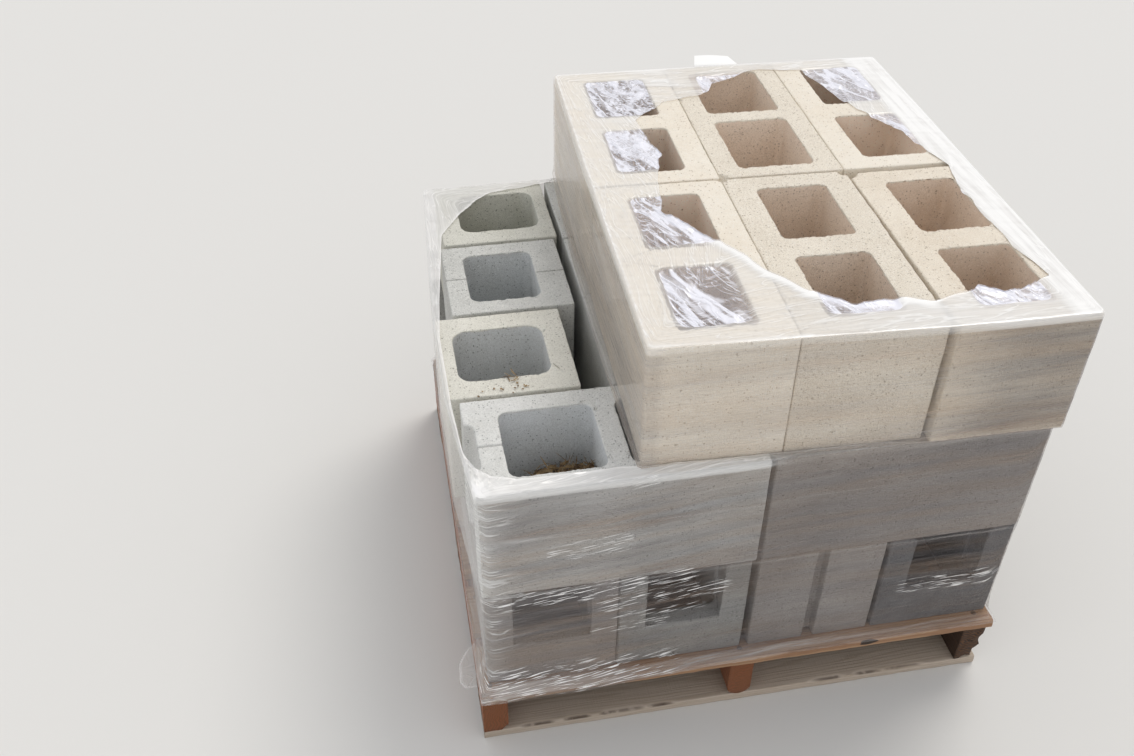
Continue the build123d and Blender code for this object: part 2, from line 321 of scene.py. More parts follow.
def sawn_stick(stick, material, wane=(), bites=(), seed=0, barked=1.0):
    """A board or stringer as a closed section carried along its length. The section is a rectangle
    with four rounded corners, whose radii grow where bark was left on the log's edge (wane: corner
    number, place, half length and depth, in millimetres). The ends are rough from the saw, and bites
    are balls, each a centre and a radius, that have rotted away."""
    low, high = (np.array(corner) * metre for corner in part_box(stick))
    size, middle = high - low, (low + high) / 2
    grain_axis = int(np.argmax(size))
    across = [axis for axis in range(3) if axis != grain_axis]
    half_wide, half_tall = size[across[0]] / 2, size[across[1]] / 2
    length = size[grain_axis]
    stations = np.concatenate([[0, 1.5], np.linspace(6, length - 6, 84), [length - 1.5, length]])
    reach = stations - length / 2
    spot = np.stack([reach, np.full_like(reach, seed * 37.0), np.zeros_like(reach)], 1)
    sections = []
    corners = ((1, 1), (-1, 1), (-1, -1), (1, -1))
    radii = []
    for number in range(4):
        radius = 2.2 + 0.9 * lumps(spot + [0, number * 50, 0], 14, seed)
        for corner, at, half_length, depth in wane:
            if corner == number:
                swell = np.clip(1 - ((reach - at) / half_length) ** 2, 0, 1)
                radius += depth * swell * (1 + 0.4 * lumps(spot, 22, seed + 5))
        radii.append(np.clip(radius, 0.8, 0.48 * min(size[across[0]], size[across[1]]))[:, None])
    for number, (right, up) in enumerate(corners):
        radius, following = radii[number], radii[(number + 1) % 4]
        angle = np.radians(90 * number + np.linspace(0, 90, 6))
        sections.append(np.stack([right * (half_wide - radius) + radius * np.cos(angle),
                                  up * (half_tall - radius) + radius * np.sin(angle)], -1))
        next_right, next_up = corners[(number + 1) % 4]
        next_angle = np.radians(90 * (number + 1))
        start = sections[-1][:, -1:]
        stop = np.stack([next_right * (half_wide - following) + following * np.cos(next_angle),
                         next_up * (half_tall - following) + following * np.sin(next_angle)], -1)
        count = int(np.clip(2 * (half_wide if number in (0, 2) else half_tall) / 7, 3, 16))
        share = (np.arange(1, count) / count)[None, :, None]
        sections.append(start + (stop - start) * share)
    section = np.concatenate(sections, 1)
    caps = [section[:1] * scale for scale in (0.02, 0.4, 0.8)]
    ends = [section[-1:] * scale for scale in (0.8, 0.4, 0.02)]
    section = np.concatenate([*caps, section, *ends])
    reach = np.concatenate([[reach[0]] * 3, reach, [reach[-1]] * 3])
    points = np.zeros((*section.shape[:2], 3))
    points[..., grain_axis] = reach[:, None]
    points[..., across[0]], points[..., across[1]] = section[..., 0], section[..., 1]
    rows, columns = section.shape[:2]
    flat = points.reshape(-1, 3)
    faces = grid_faces(rows, columns)
    if grain_axis == 1:
        faces = faces[:, ::-1]
    lid = np.arange(columns)
    loose = flat + middle
    for centre, radius in bites:
        loose = bitten(loose, centre, radius)
    along = np.zeros(3)
    along[grain_axis] = 1
    sideways = flat * (1 - along)
    sideways /= np.maximum(np.linalg.norm(sideways, axis=1, keepdims=True), 1e-6)
    rough = 0.35 * lumps(loose * np.where(along, 0.25, 1), 5, seed)
    rough += 0.35 * lumps(loose * np.where(along, 0.5, 1), 90, seed)
    loose = loose + sideways * rough[:, None]
    at_end = (np.abs(flat[:, grain_axis]) > length / 2 - 0.1)[:, None]
    loose = loose + at_end * along * (0.9 * lumps(loose, 7, seed + 3))[:, None]
    points, triangles = weld(loose, faces)
    # Each end closes with a fan of triangles round its middle.
    middles = [loose[lid].mean(0), loose[-columns:].mean(0)]
    hubs = len(points) + np.arange(2)
    _, number = np.unique(np.round(loose, 3), axis=0, return_inverse=True)
    rims = [number.reshape(-1)[lid], number.reshape(-1)[len(loose) - columns + lid]]
    order = (1, 0) if grain_axis == 1 else (0, 1)
    fans = []
    for hub, rim, flip in zip(hubs, rims, order):
        spokes = np.stack([np.full(columns, hub), np.roll(rim, -1), rim], 1)
        fans.append(spokes[:, ::-1] if flip else spokes)
    fans = np.concatenate(fans)
    fans = fans[fans[:, 1] != fans[:, 2]]
    points = np.concatenate([points, middles])
    piece = add_piece(stick + "_timber", points, np.concatenate([triangles, fans]), material, "pallet_wood")
    off = np.abs(points - middle)
    cut_back = np.minimum(half_wide - off[:, across[0]], half_tall - off[:, across[1]])
    shared_field(piece, "bark", barked * smooth(cut_back, 0.9, 1.8))
    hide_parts(stick)


red_pine, red_late = (0.31, 0.105, 0.034, 1), (0.175, 0.053, 0.017, 1)
rotted, rotted_late = (0.065, 0.032, 0.016, 1), (0.03, 0.015, 0.008, 1)
for number, side in enumerate(("left", "middle", "right")):
    low, high = (np.array(corner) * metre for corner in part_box(f"stringer_{side}"))
    rot, wane = [], []
    if side == "left":
        rot = [((high[0] + 6, low[1] - 4, low[2] - 4), 17)]
    if side == "middle":
        wane = [(2, -400, 260, 13), (3, -400, 200, 12)]
    if side == "right":
        rot = [((high[0] + 12, low[1] - 12, low[2] + 8), 27), ((high[0] + 6, low[1] - 10, low[2] + 42), 17),
               ((low[0] + 22, low[1] - 12, low[2] - 6), 18)]
        material = timber_material("rotted right stringer", rotted, rotted_late, 0.0,
                                   (0.9, 0.3, 0.2), "Y", 45)
    else:
        material = timber_material(f"{side} stringer", red_pine, red_late, 0.12,
                                   (0.37 * number, 0.11, 0.05 * number), "Y", 60 + 35 * number)
    sawn_stick(f"stringer_{side}", material, wane=wane, bites=rot, seed=11 + number, barked=0.0)

pine, pine_late = (0.53, 0.445, 0.365, 1), (0.45, 0.365, 0.285, 1)
bottom_wane = {
    "front": [(1, -320, 34, 9), (1, -262, 30, 8), (1, -190, 40, 10), (1, -128, 26, 7), (1, 150, 34, 9),
              (1, 222, 30, 7), (1, 285, 38, 9), (0, 120, 90, 8)],
    "middle": [(0, 40, 120, 7)],
    "back": [(0, 100, 150, 6)]}
for number, depth in enumerate(bottom_wane):
    material = timber_material(f"{depth} bottom board", pine, pine_late, 0.35,
                               (0.2 + 0.9 * number, 0.03, 0.2), pith=140)
    sawn_stick(f"bottom_board_{depth}", material, wane=bottom_wane[depth], seed=21 + number)

deck_pine, deck_late = (0.41, 0.23, 0.115, 1), (0.295, 0.14, 0.06, 1)
for number in range(1, 8):
    material = timber_material(f"deck board {number}", deck_pine, deck_late, 0.2,
                               (0.53 * number, 0.07 * number, 0.0), pith=30 + 40 * (number % 3), dust_and_shade=0.85)
    sawn_stick(f"deck_board_{number}", material, seed=31 + number)


# Concrete blocks. Dry sand and gravel concrete pressed in a steel mould: the cores are drafted, the
# faces open and sandy, the arrises worn and the mouths of the cores ragged. Every block is made as
# one ring of wall round each core, and two rings that share a web are welded along its middle.

block_wide, block_tall, block_long = 194.0, 194.0, 397.0
draft_slope = np.tan(np.radians(2.1))
corner_round = 3.0
arc_share = 0.15
kerf_half, kerf_floor = 1.5, block_tall - 12.0
channel_bevel = 7.0
signs = np.array([[-1, 1], [-1, -1], [1, -1], [1, 1]])


def core_edge(turn, spread, core):
    """The core's outline at a turn from 0 to 4: left, near, right and far side, each being half a
    corner arc, a straight and half an arc. It has widened by spread. Also gives its outward normal."""
    side = np.floor(turn).astype(int)
    share = turn - side
    first = np.clip(share / arc_share, 0, 1)
    last = np.clip((share - 1 + arc_share) / arc_share, 0, 1)
    straight = np.clip((share - arc_share) / (1 - 2 * arc_share), 0, 1)[..., None]
    angle = np.radians(135 + 90 * side + 45 * (first + last))
    facing = np.stack([np.cos(angle), np.sin(angle)], -1)
    inset = np.array([core["wide"], core["long"]]) / 2 + np.asarray(spread)[..., None] - core["corner"]
    centre = inset * ((1 - straight) * signs[side % 4] + straight * signs[(side + 1) % 4])
    return core["middle"] + centre + core["corner"] * facing, facing


def line(start, stop, facing, turns, count=1, tops=(block_tall, block_tall)):
    """Columns of a straight stretch of outer wall: places, facing, heights and turns of the core."""
    share = np.linspace(0, 1, count + 1)
    start, stop = np.array(start, float), np.array(stop, float)
    return (start + (stop - start) * share[:, None], np.tile(np.array(facing, float), (count + 1, 1)),
            tops[0] + (tops[1] - tops[0]) * share, turns[0] + (turns[1] - turns[0]) * share)


def bend(centre, radius, angles, turns, count=3, hollow=False, top=block_tall):
    """Columns round an upright arris, or round the hollow corner of a recess."""
    angle = np.radians(np.linspace(*angles, count + 1))
    ray = np.stack([np.cos(angle), np.sin(angle)], 1)
    return (np.array(centre, float) + radius * ray, -ray if hollow else ray, np.full(count + 1, top),
            np.linspace(*turns, count + 1))


def mirrored(columns, about):
    """Columns of the other half of an end wall, in the order in which they are met there."""
    place, facing, top, turn = columns
    return place[::-1] * [-1, 1], facing[::-1] * [-1, 1], top[::-1], 2 * about - turn[::-1]


def end_wall(half, end, fine, recess=None, kerf=False, channel=None):
    """The near end wall, from the left arris to the right one, as straight runs and arcs. A recess is
    (half width, depth, corner), a kerf is a narrow cut down from the top, and a channel is (half width,
    level of its floor)."""
    s, r = arc_share, corner_round
    start = 1 - s if channel else 1 + s
    left = [bend((-half + r, end + r), r, (180, 225), (start, start) if channel else (1 - s, 1)),
            bend((-half + r, end + r), r, (225, 270), (start, start) if channel else (1, 1 + s))]
    if channel:
        wide, floor = channel
        left.append(line((-half + r, end), (-wide - channel_bevel, end), (0, -1), (start, start), 4))
        left.append(line((-wide - channel_bevel, end), (-wide, end), (0, -1), (start, start), 3,
                         (block_tall, block_tall - channel_bevel)))
        left.append(line((-wide, end), (-wide, end), (0, -1), (start, start), 8,
                         (block_tall - channel_bevel, floor)))
        left.append(line((-wide, end), (0, end), (0, -1), (start, 1.5), fine, (floor, floor)))
    else:
        cut = kerf_half if kerf else 0
        back = end
        x = -half + r
        if recess:
            wide, deep, corner = recess
            back = end + deep
            lip = 2.0
            left += [line((x, end), (-wide - lip, end), (0, -1), (start, start + 0.1), fine // 3),
                     bend((-wide - lip, end + lip), lip, (270, 360), (start + 0.1, start + 0.12)),
                     line((-wide, end + lip), (-wide, back - corner), (1, 0), (start + 0.12, start + 0.13)),
                     bend((-wide + corner, back - corner), corner, (180, 90), (start + 0.13, start + 0.17),
                          4, True)]
            x, start = -wide + corner, start + 0.17
        left.append(line((x, back), (-cut, back), (0, -1), (start, 1.5 - 0.01 * kerf),
                         fine // (3 if recess else 1)))
        if kerf:
            left.append(line((-cut, back), (-cut, back), (0, -1), (1.49, 1.49), 1, (block_tall, kerf_floor)))
            left.append(line((-cut, back), (0, back), (0, -1), (1.49, 1.5), 1, (kerf_floor, kerf_floor)))
    return left + [mirrored(columns, 1.5) for columns in left[::-1]]


def web_columns(half, fine, channel=None):
    """The middle of a web, where two rings meet: it has no wall of its own."""
    s = arc_share
    if channel:
        wide, floor = channel
        right = [line((half, 0), (wide + channel_bevel, 0), (0, 0), (3 - s, 3 - s), 4),
                 line((wide + channel_bevel, 0), (wide, 0), (0, 0), (3 - s, 3 - s), 3,
                      (block_tall, block_tall - channel_bevel)),
                 line((wide, 0), (wide, 0), (0, 0), (3 - s, 3 - s), 8, (block_tall - channel_bevel, floor)),
                 line((wide, 0), (0, 0), (0, 0), (3 - s, 3.5), fine, (floor, floor))]
    else:
        right = [line((half, 0), (half, 0), (0, 0), (3, 3 + s), 3),
                 line((half, 0), (0, 0), (0, 0), (3 + s, 3.5), fine)]
    return right + [mirrored(columns, 3.5) for columns in right[::-1]]


def ring_surface(pieces, core, seed, upturned=False, worn=1.0):
    """One ring of wall as a grid of points: each column runs from the core out under the bottom, up the
    wall, over the worn arris, across the top, over the ragged mouth and down the drafted core. Blocks
    that are hardly seen have few columns, and few rows too."""
    place, facing, top, turn = (np.concatenate(part) for part in zip(*pieces))
    inner = (np.abs(facing).sum(1) == 0)
    spot = np.concatenate([place * [1, core["side"]], np.full((len(place), 1), 7.0 * seed)], 1)
    wear = worn * (1.6 + 0.9 * lumps(spot, 9, seed) + 1.1 * np.clip(lumps(spot, 31, seed + 1), 0.15, 1))
    wear = np.where(top < block_tall, 0, np.clip(wear, 0.6, 6))
    half = block_wide / 2
    shoulder = np.interp(np.abs(place[:, 0]), [0, half], [0, 1])
    narrowed = place * np.stack([1 - wear * shoulder / half, np.ones(len(place))], 1)
    place = np.where(inner[:, None], narrowed, place)
    wear = np.where(inner, 0, wear)
    brim, _ = core_edge(turn, 0 * top, core)
    brim = np.concatenate([brim * [1, core["side"]], np.full((len(place), 1), 5.0 * seed)], 1)
    ragged = np.clip(1.6 + 2.3 * lumps(brim, 3.3, seed + 2) + 1.2 * lumps(brim, 13, seed + 3), 0.2, 5.5)
    ragged = np.where(top < block_tall, 0.3, ragged)
    ragged = np.maximum(ragged, core.get("bevel", 0))
    under = 1.5

    def spread(level):
        """How much wider than its mouth the core is at a level."""
        return draft_slope * (level if upturned else block_tall - level)

    rows = []

    def row(flat, level):
        """Adds a row of points, one for each column."""
        level = np.broadcast_to(np.asarray(level, float), len(flat))
        rows.append(np.concatenate([flat, level[:, None]], 1))

    base = np.zeros(len(place))
    foot, _ = core_edge(turn, spread(base), core)
    hem = place - facing * np.where(inner, 0, under)[:, None]
    for share in (0.0, 0.35, 0.7, 1.0):
        row(foot + (hem - foot) * share, base)
    row(place - facing * np.where(inner, 0, 0.3 * under)[:, None], 0.3 * under)
    shared = min(top.min(), kerf_floor)
    dense = core["fine"] >= 20
    grades = np.array([0, 0.04, 0.12, 0.24, 0.38, 0.54, 0.7, 0.86, 1] if dense else [0, 0.1, 0.5, 1])
    steps = np.array([0.25, 0.5, 0.75, 1] if dense else [0.5, 1])
    for grade in grades:
        row(place, under + (shared - under) * grade)
    for step in steps:
        row(place, shared + (top - wear - shared) * step)
    for angle in np.radians([30, 60, 90]):
        row(place - facing * (wear * (1 - np.cos(angle)))[:, None], top - wear * (1 - np.sin(angle)))
    rim = place - facing * wear[:, None]
    mouth, out = core_edge(turn, spread(top), core)
    lip = mouth + out * ragged[:, None]
    for share in (0.07, 0.2, 0.35, 0.5, 0.65, 0.8, 0.93, 1) if dense else (0.1, 0.5, 0.9, 1):
        row(rim + (lip - rim) * share, top)
    for angle in np.radians([30, 60, 90]):
        row(mouth + out * (ragged * (1 - np.sin(angle)))[:, None], top - ragged * (1 - np.cos(angle)))
    sunk = np.minimum(top - ragged, shared)
    levels = [sunk + (top - ragged - sunk) * step for step in steps[::-1][1:]]
    levels += [np.minimum(shared * grade, sunk) for grade in grades[::-1][:-1]]
    for level in levels:
        edge, _ = core_edge(turn, spread(level), core)
        row(edge, level)
    grid = np.stack(rows)
    grid[..., 1] *= core["side"]
    faces = grid_faces(len(rows), len(place))
    flat = grid.reshape(-1, 3)
    if core["side"] < 0:
        faces = faces[:, ::-1]
    if np.any(inner):
        on_web = (np.abs(flat[:, 1]) < 1e-4)[faces].all(1)
        faces = faces[~on_web]
    return flat, faces


def block_shape(rings, seed, chips=()):
    """Welds a block's rings and roughens them: pressed sand in two sizes of lump, and broken corners."""
    points, faces = [], []
    for flat, corners in rings:
        faces.append(corners + sum(map(len, points)))
        points.append(flat)
    points, triangles = weld(np.concatenate(points), np.concatenate(faces))
    for centre, radius in chips:
        points = bitten(points, centre, radius)
    shift = [0, 0, 300.0 * seed]
    rough = 0.30 * lumps(points + shift, 4.5, seed) + 0.25 * lumps(points + shift, 11, seed + 1)
    rough += 0.35 * lumps(points + shift, 70, seed + 2)
    return points + outward(points, triangles) * rough[:, None], triangles


def add_block(name, stand_in, made, turn, material, slot):
    """Sets a block down as a finished piece, and marks the walls of its cores for the material: points
    below the top that lie within a core's mouth grown by its draft."""
    shape, triangles, cores = made
    piece = add_piece(name, set_down(shape, stand_in, turn), triangles, material, slot)
    inside = np.zeros(len(shape), bool)
    for across, along, wide, long in cores:
        inside |= (np.abs(shape[:, 0] - across) < wide / 2 + 9) & (np.abs(shape[:, 1] - along) < long / 2 + 9)
    shared_field(piece, "core wall", inside & (shape[:, 2] < block_tall - 2.5))
    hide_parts(stand_in)


def two_core_block(core_wide, core_long, web, seed, fine, corner=15.0, upturned=False, worn=1.0, chips=(),
                   near=None, far=None, channel=None):
    """A full block from two rings. near and far say what its end walls have: a recess and a kerf. fine
    is how many columns its end walls have."""
    rings = []
    half, end = block_wide / 2, -block_long / 2
    s = arc_share
    for side, wall in ((1, near or {}), (-1, far or {})):
        core = {"wide": core_wide, "long": core_long, "corner": corner, "side": side, "fine": fine,
                "middle": np.array([0, -(core_long + web) / 2]), "bevel": 5.5 if channel else 0}
        left = [line((-half, 0), (-half, end + corner_round), (-1, 0), (s, 1 - s), int(1.3 * fine))]
        right = [line((half, end + corner_round), (half, 0), (1, 0), (2 + s, 3 - s), int(1.3 * fine))]
        if not channel:
            left.insert(0, line((-half, 0), (-half, 0), (-1, 0), (0, s), 3))
            right.append(line((half, 0), (half, 0), (1, 0), (3 - s, 3), 3))
        pieces = [*left, *end_wall(half, end, fine // 2, channel=channel, **wall), *right,
                  *web_columns(half, fine // 2, channel)]
        rings.append(ring_surface(pieces, core, seed, upturned, worn))
    cores = [(0, side * (core_long + web) / 2, core_wide, core_long) for side in (-1, 1)]
    return *block_shape(rings, seed, chips), cores


def half_shape(core_wide, core_long, shift, corner, seed, fine=56, kerf=False):
    """A cube with one core, from one ring. A kerf crosses the walls at either side of the core."""
    half = block_wide / 2
    s, r = arc_share, corner_round
    core = {"wide": core_wide, "long": core_long, "corner": corner, "side": 1, "fine": fine,
            "middle": np.array([shift, 0.0])}
    near = end_wall(half, -half, fine // 2)
    left = []
    for top_turn, x, facing in ((0, -half, -1), (2, half, 1)):
        y = half - r if top_turn == 0 else -half + r
        step = -np.sign(y)
        if kerf:
            cut = -step * kerf_half
            run = [line((x, y), (x, cut), (facing, 0), (top_turn + s, top_turn + 0.49), fine // 2),
                   line((x, cut), (x, cut), (facing, 0), (top_turn + 0.49,) * 2, 1, (block_tall, kerf_floor)),
                   line((x, cut), (x, -cut), (facing, 0), (top_turn + 0.49, top_turn + 0.51), 1,
                        (kerf_floor, kerf_floor)),
                   line((x, -cut), (x, -cut), (facing, 0), (top_turn + 0.51,) * 2, 1,
                        (kerf_floor, block_tall)),
                   line((x, -cut), (x, -y), (facing, 0), (top_turn + 0.51, top_turn + 1 - s), fine // 2)]
        else:
            run = [line((x, y), (x, -y), (facing, 0), (top_turn + s, top_turn + 1 - s), fine)]
        left.append(run)
    far = [(-place, -facing, top, turn + 2) for place, facing, top, turn in near]
    pieces = [*left[0], *near, *left[1], *far]
    return *block_shape([ring_surface(pieces, core, seed)], seed), [(shift, 0, core_wide, core_long)]


def set_down(points, stand_in, turn):
    """Turns a block's own shape, in degrees about the upright, and puts it where the frame has it."""
    low, high = (np.array(corner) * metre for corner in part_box(stand_in))
    middle = (low + high) / 2
    a = np.radians(turn)
    across = np.array([[np.cos(a), np.sin(a)], [-np.sin(a), np.cos(a)]])
    placed = points.copy()
    placed[:, :2] = points[:, :2] @ across + middle[:2]
    placed[:, 2] += low[2]
    return placed


sand_depth = 0.0009  # metres, as in every material


def pressed_concrete():
    """Open sandy concrete: fine sand in light and dark, larger grains of gravel, broad stains and
    small pits. Colours are the cement's own and those of its grains."""
    group, given, made = effect_group(
        "pressed concrete",
        [("Vector", "Vector", None), ("Cement", "Color", (0.4, 0.38, 0.34, 1)),
         ("Stain", "Color", (0.3, 0.28, 0.24, 1)), ("Light grain", "Color", (0.7, 0.68, 0.62, 1)),
         ("Dark grain", "Color", (0.12, 0.11, 0.1, 1)), ("Grains", "Float", 0.5)],
        [("Color", "Color", None), ("Height", "Float", None)])
    place, cement, stain, light, dark, grains = (
        given.outputs[name] for name in ("Vector", "Cement", "Stain", "Light grain", "Dark grain", "Grains"))
    sand = node(group, "TexNoise", {"Vector": place}, Scale=620.0, Detail=3.0, Roughness=0.7).outputs["Fac"]
    broad = node(group, "TexNoise", {"Vector": place}, Scale=11.0, Detail=5.0, Roughness=0.62).outputs["Fac"]
    cloud = node(group, "TexNoise", {"Vector": place}, Scale=55.0, Detail=4.0, Roughness=0.6).outputs["Fac"]
    gravel = node(group, "TexVoronoi", {"Vector": place}, Scale=330.0)
    fine = node(group, "TexVoronoi", {"Vector": place}, Scale=720.0)
    pits = node(group, "TexVoronoi", {"Vector": place}, Scale=105.0)
    tint = blend_of(group, stretch_of(group, broad, 0.35, 0.68), cement, stain)
    tint = blend_of(group, stretch_of(group, cloud, 0.3, 0.7, 0.0, 0.35), tint, stain)
    speck = stretch_of(group, sand, 0.36, 0.5, 0.5, 0.0)
    tint = blend_of(group, product_of(group, speck, grains), tint, dark)
    bright = stretch_of(group, sand, 0.52, 0.66, 0.0, 0.75)
    tint = blend_of(group, product_of(group, bright, grains), tint, light)
    choice = node(group, "SeparateColor", {"Color": gravel.outputs["Color"]})
    body = stretch_of(group, gravel.outputs["Distance"], 0.25, 0.5, 1.0, 0.0)
    dark_stone = product_of(group, stretch_of(group, choice.outputs[0], 0.86, 0.9), body)
    light_stone = product_of(group, stretch_of(group, choice.outputs[1], 0.8, 0.86), body)
    tint = blend_of(group, product_of(group, dark_stone, 0.7), tint, dark)
    tint = blend_of(group, product_of(group, light_stone, 0.6), tint, light)
    # The small pits are darkened towards the dark grain: painted shade inside them, besides their bump.
    pick = node(group, "SeparateColor", {"Color": pits.outputs["Color"]})
    pit = product_of(group, stretch_of(group, pits.outputs["Distance"], 0.08, 0.2, 1.0, 0.0),
                     stretch_of(group, pick.outputs[0], 0.72, 0.8))
    tint = blend_of(group, product_of(group, pit, 0.55), tint, dark)
    height = sum_of(group, product_of(group, sand, 1.1),
                    stretch_of(group, fine.outputs["Distance"], 0.1, 0.6, 0.5, 0.0),
                    product_of(group, cloud, 0.9), product_of(group, pit, -1.4))
    group.links.new(tint, made.inputs["Color"])
    group.links.new(height, made.inputs["Height"])
    return group


concrete = pressed_concrete()


def block_material(name, cement, stain, light, dark, grains, shift, core_light=(1.10, 1.13, 1.18, 1)):
    """One kind of block's own mix of cement and sand. The walls of its cores are tinted, mostly paler,
    bluer on most grey blocks and warmer on the buff ones: painted light reaching into the cores."""
    material, tree, shader, place = plain_material(name)
    place = node(tree, "Mapping", {"Vector": place}, Location=shift).outputs[0]
    mix = use_group(tree, concrete, Vector=place, Cement=(*cement, 1), Stain=(*stain, 1),
                    Light_grain=(*light, 1), Dark_grain=(*dark, 1), Grains=grains)
    within = node(tree, "Attribute", attribute_name="core wall").outputs["Fac"]
    # Painted light: the walls of the cores take a tint, mostly paler, for the light that reaches into them.
    tint = blend_of(tree, within, mix.outputs["Color"], core_light, how="MULTIPLY")
    tree.links.new(tint, shader.inputs["Base Color"])
    shader.inputs["Roughness"].default_value = 0.93
    shader.inputs["Specular IOR Level"].default_value = 0.25
    use_bump(tree, shader, mix.outputs["Height"], sand_depth)
    return material


grey = block_material("grey concrete", (0.73, 0.73, 0.70), (0.63, 0.63, 0.60), (0.88, 0.88, 0.85),
                      (0.24, 0.24, 0.23), 0.7, (0, 0, 0))
mid_grey = block_material("mid grey concrete", (0.40, 0.395, 0.38), (0.33, 0.325, 0.31), (0.56, 0.55, 0.53),
                          (0.13, 0.13, 0.12), 0.6, (0.3, 0.1, 0.8))
pale_grey = block_material("pale grey concrete", (0.84, 0.84, 0.82), (0.75, 0.75, 0.72),
                           (0.93, 0.93, 0.91), (0.28, 0.28, 0.27), 0.65, (0.2, 0.4, 0.6))
brown_grey = block_material("brown grey concrete", (0.425, 0.395, 0.375), (0.36, 0.33, 0.31),
                            (0.60, 0.565, 0.53), (0.15, 0.135, 0.12), 0.6, (0.5, 0.6, 0.1))
# The right bond beam is given this very dark grey: its own grey darkened as painted shade.
shade_dark_grey = block_material("dark grey concrete", (0.19, 0.19, 0.195), (0.14, 0.14, 0.145), (0.34, 0.34, 0.34),
                           (0.06, 0.06, 0.06), 0.6, (0.4, 0.2, 0.1))
straw_grey = block_material("straw grey concrete", (0.87, 0.85, 0.77), (0.78, 0.76, 0.68),
                            (0.94, 0.93, 0.86), (0.28, 0.26, 0.22), 0.65, (0.7, 0.1, 0.3),
                            (0.98, 1.02, 1.12, 1))
green_grey = block_material("green grey concrete", (0.76, 0.75, 0.68), (0.66, 0.65, 0.575),
                            (0.88, 0.87, 0.80), (0.22, 0.22, 0.18), 0.65, (0.2, 0.9, 0.5),
                            (1.04, 1.05, 1.05, 1))

# Bottom layer. Four columns of two: bond beam blocks with a U-shaped channel over their low webs, and
# one closed sash block with a groove up its end. The back row is plain stretchers with eared ends.

bond_beam = dict(core_wide=114.0, core_long=140.0, web=50.0, channel=(57.0, 80.0))
closed_block = dict(core_wide=107.0, core_long=141.0, web=46.0)
eared_end = {"recess": (47.5, 14.0, 12.0), "kerf": True}
stretcher = dict(core_wide=131.0, core_long=134.0, web=32.0, near=eared_end, far=eared_end)
for number, (side, mix) in enumerate([("left", brown_grey), ("middle", mid_grey), ("right", shade_dark_grey)]):
    made = two_core_block(**bond_beam, seed=41 + number, fine=30)
    add_block(f"bond_beam_{side}_block", f"bond_beam_{side}", made, 0, mix, "grey_concrete")
made = two_core_block(**closed_block, seed=44, fine=30, near={"recess": (9.0, 15.0, 1.5)})
add_block("sash_block_block", "sash_block", made, 0, brown_grey, "grey_concrete")
for number, mix in enumerate([mid_grey, green_grey, grey, brown_grey], 1):
    made = two_core_block(**stretcher, seed=50 + number, fine=18)
    add_block(f"back_stretcher_{number}", f"bottom_back_block_{number}", made, 0, mix, "grey_concrete")

# Middle layer. Two stretchers lie along the front, and three half blocks stand loose in the column
# on the left, each a little out of line. Under the buff stack are the blocks that carry it, and the
# first column of them was pushed a little towards the half blocks.

# The right stretcher takes the darker brown grey mix: partly its own colour, partly painted shade, as the
# front grows darker towards the right.
for number, (side, mix, fine) in enumerate([("left", pale_grey, 50), ("right", brown_grey, 30)]):
    made = two_core_block(**stretcher, seed=61 + number, fine=fine)
    add_block(f"front_stretcher_{side}", f"stretcher_front_{side}", made, 90, mix, "grey_concrete")
half_blocks = {"back": (137.0, 121.0, 6.0, 22.0, False, green_grey),
               "middle": (113.0, 133.0, -7.0, 15.0, True, grey),
               "front": (137.0, 121.0, -6.0, 22.0, False, straw_grey)}
for number, (depth, (wide, long, shift, corner, kerf, mix)) in enumerate(half_blocks.items()):
    made = half_shape(wide, long, shift, corner, seed=71 + number, kerf=kerf)
    add_block(f"half_{depth}", f"half_block_{depth}", made, 0, mix, "grey_concrete")
first_column_pushed = 6.0
for number in range(1, 4):
    covered = {"block": two_core_block(**closed_block, seed=80 + number, fine=14),
               "half": half_shape(137.0, 121.0, 0.0, 22.0, seed=90 + number, fine=14)}
    for kind, (shape, triangles, cores) in covered.items():
        if number == 1:
            shape = shape - [first_column_pushed, 0, 0]
        add_block(f"covered_{kind}_{number}", f"hidden_{kind}_{number}", (shape, triangles, cores), 0, grey,
                  "grey_concrete")

# Top layer. Six buff blocks in two rows of three, cast with yellow sand. The stack was set down a
# little crooked, its front right block slid forward, and the back middle one lies upside down.

# The walls of the buff cores are tinted paler and warmer: painted bounce light.
warm = (1.08, 1.0, 0.97, 1)
buff = block_material("buff concrete", (0.975, 0.91, 0.80), (0.935, 0.85, 0.725), (0.98, 0.95, 0.88),
                      (0.52, 0.42, 0.31), 0.4, (0.1, 0.3, 0.7), warm)
pale_buff = block_material("pale buff concrete", (0.93, 0.855, 0.735), (0.86, 0.78, 0.66),
                           (0.96, 0.92, 0.84), (0.36, 0.29, 0.22), 0.9, (0.6, 0.2, 0.4), warm)
brown_buff = block_material("brown buff concrete", (0.94, 0.855, 0.73), (0.86, 0.765, 0.635),
                            (0.97, 0.92, 0.83), (0.42, 0.33, 0.24), 0.6, (0.8, 0.5, 0.2), warm)
stack_turn, slid_turn = -1.8, -1.0
stack_places = [f"{depth}_{side}" for depth in ("front", "back") for side in ("left", "middle", "right")]
broken_corners = {
    "front_left": [((100, 203, 197), 12), ((-100, -80, 197), 5)],
    "front_middle": [((-99, 202, 196), 13), ((101, 200, 198), 18), ((60, -201, 197), 5)],
    "front_right": [((-101, 203, 197), 20)],
    "back_middle": [((-101, -203, 199), 18), ((-99, -60, 197), 6), ((-98, -20, 196), 5), ((-99, 70, 197), 7)]}
buff_mixes = {"front_middle": pale_buff, "back_middle": pale_buff, "front_right": brown_buff}
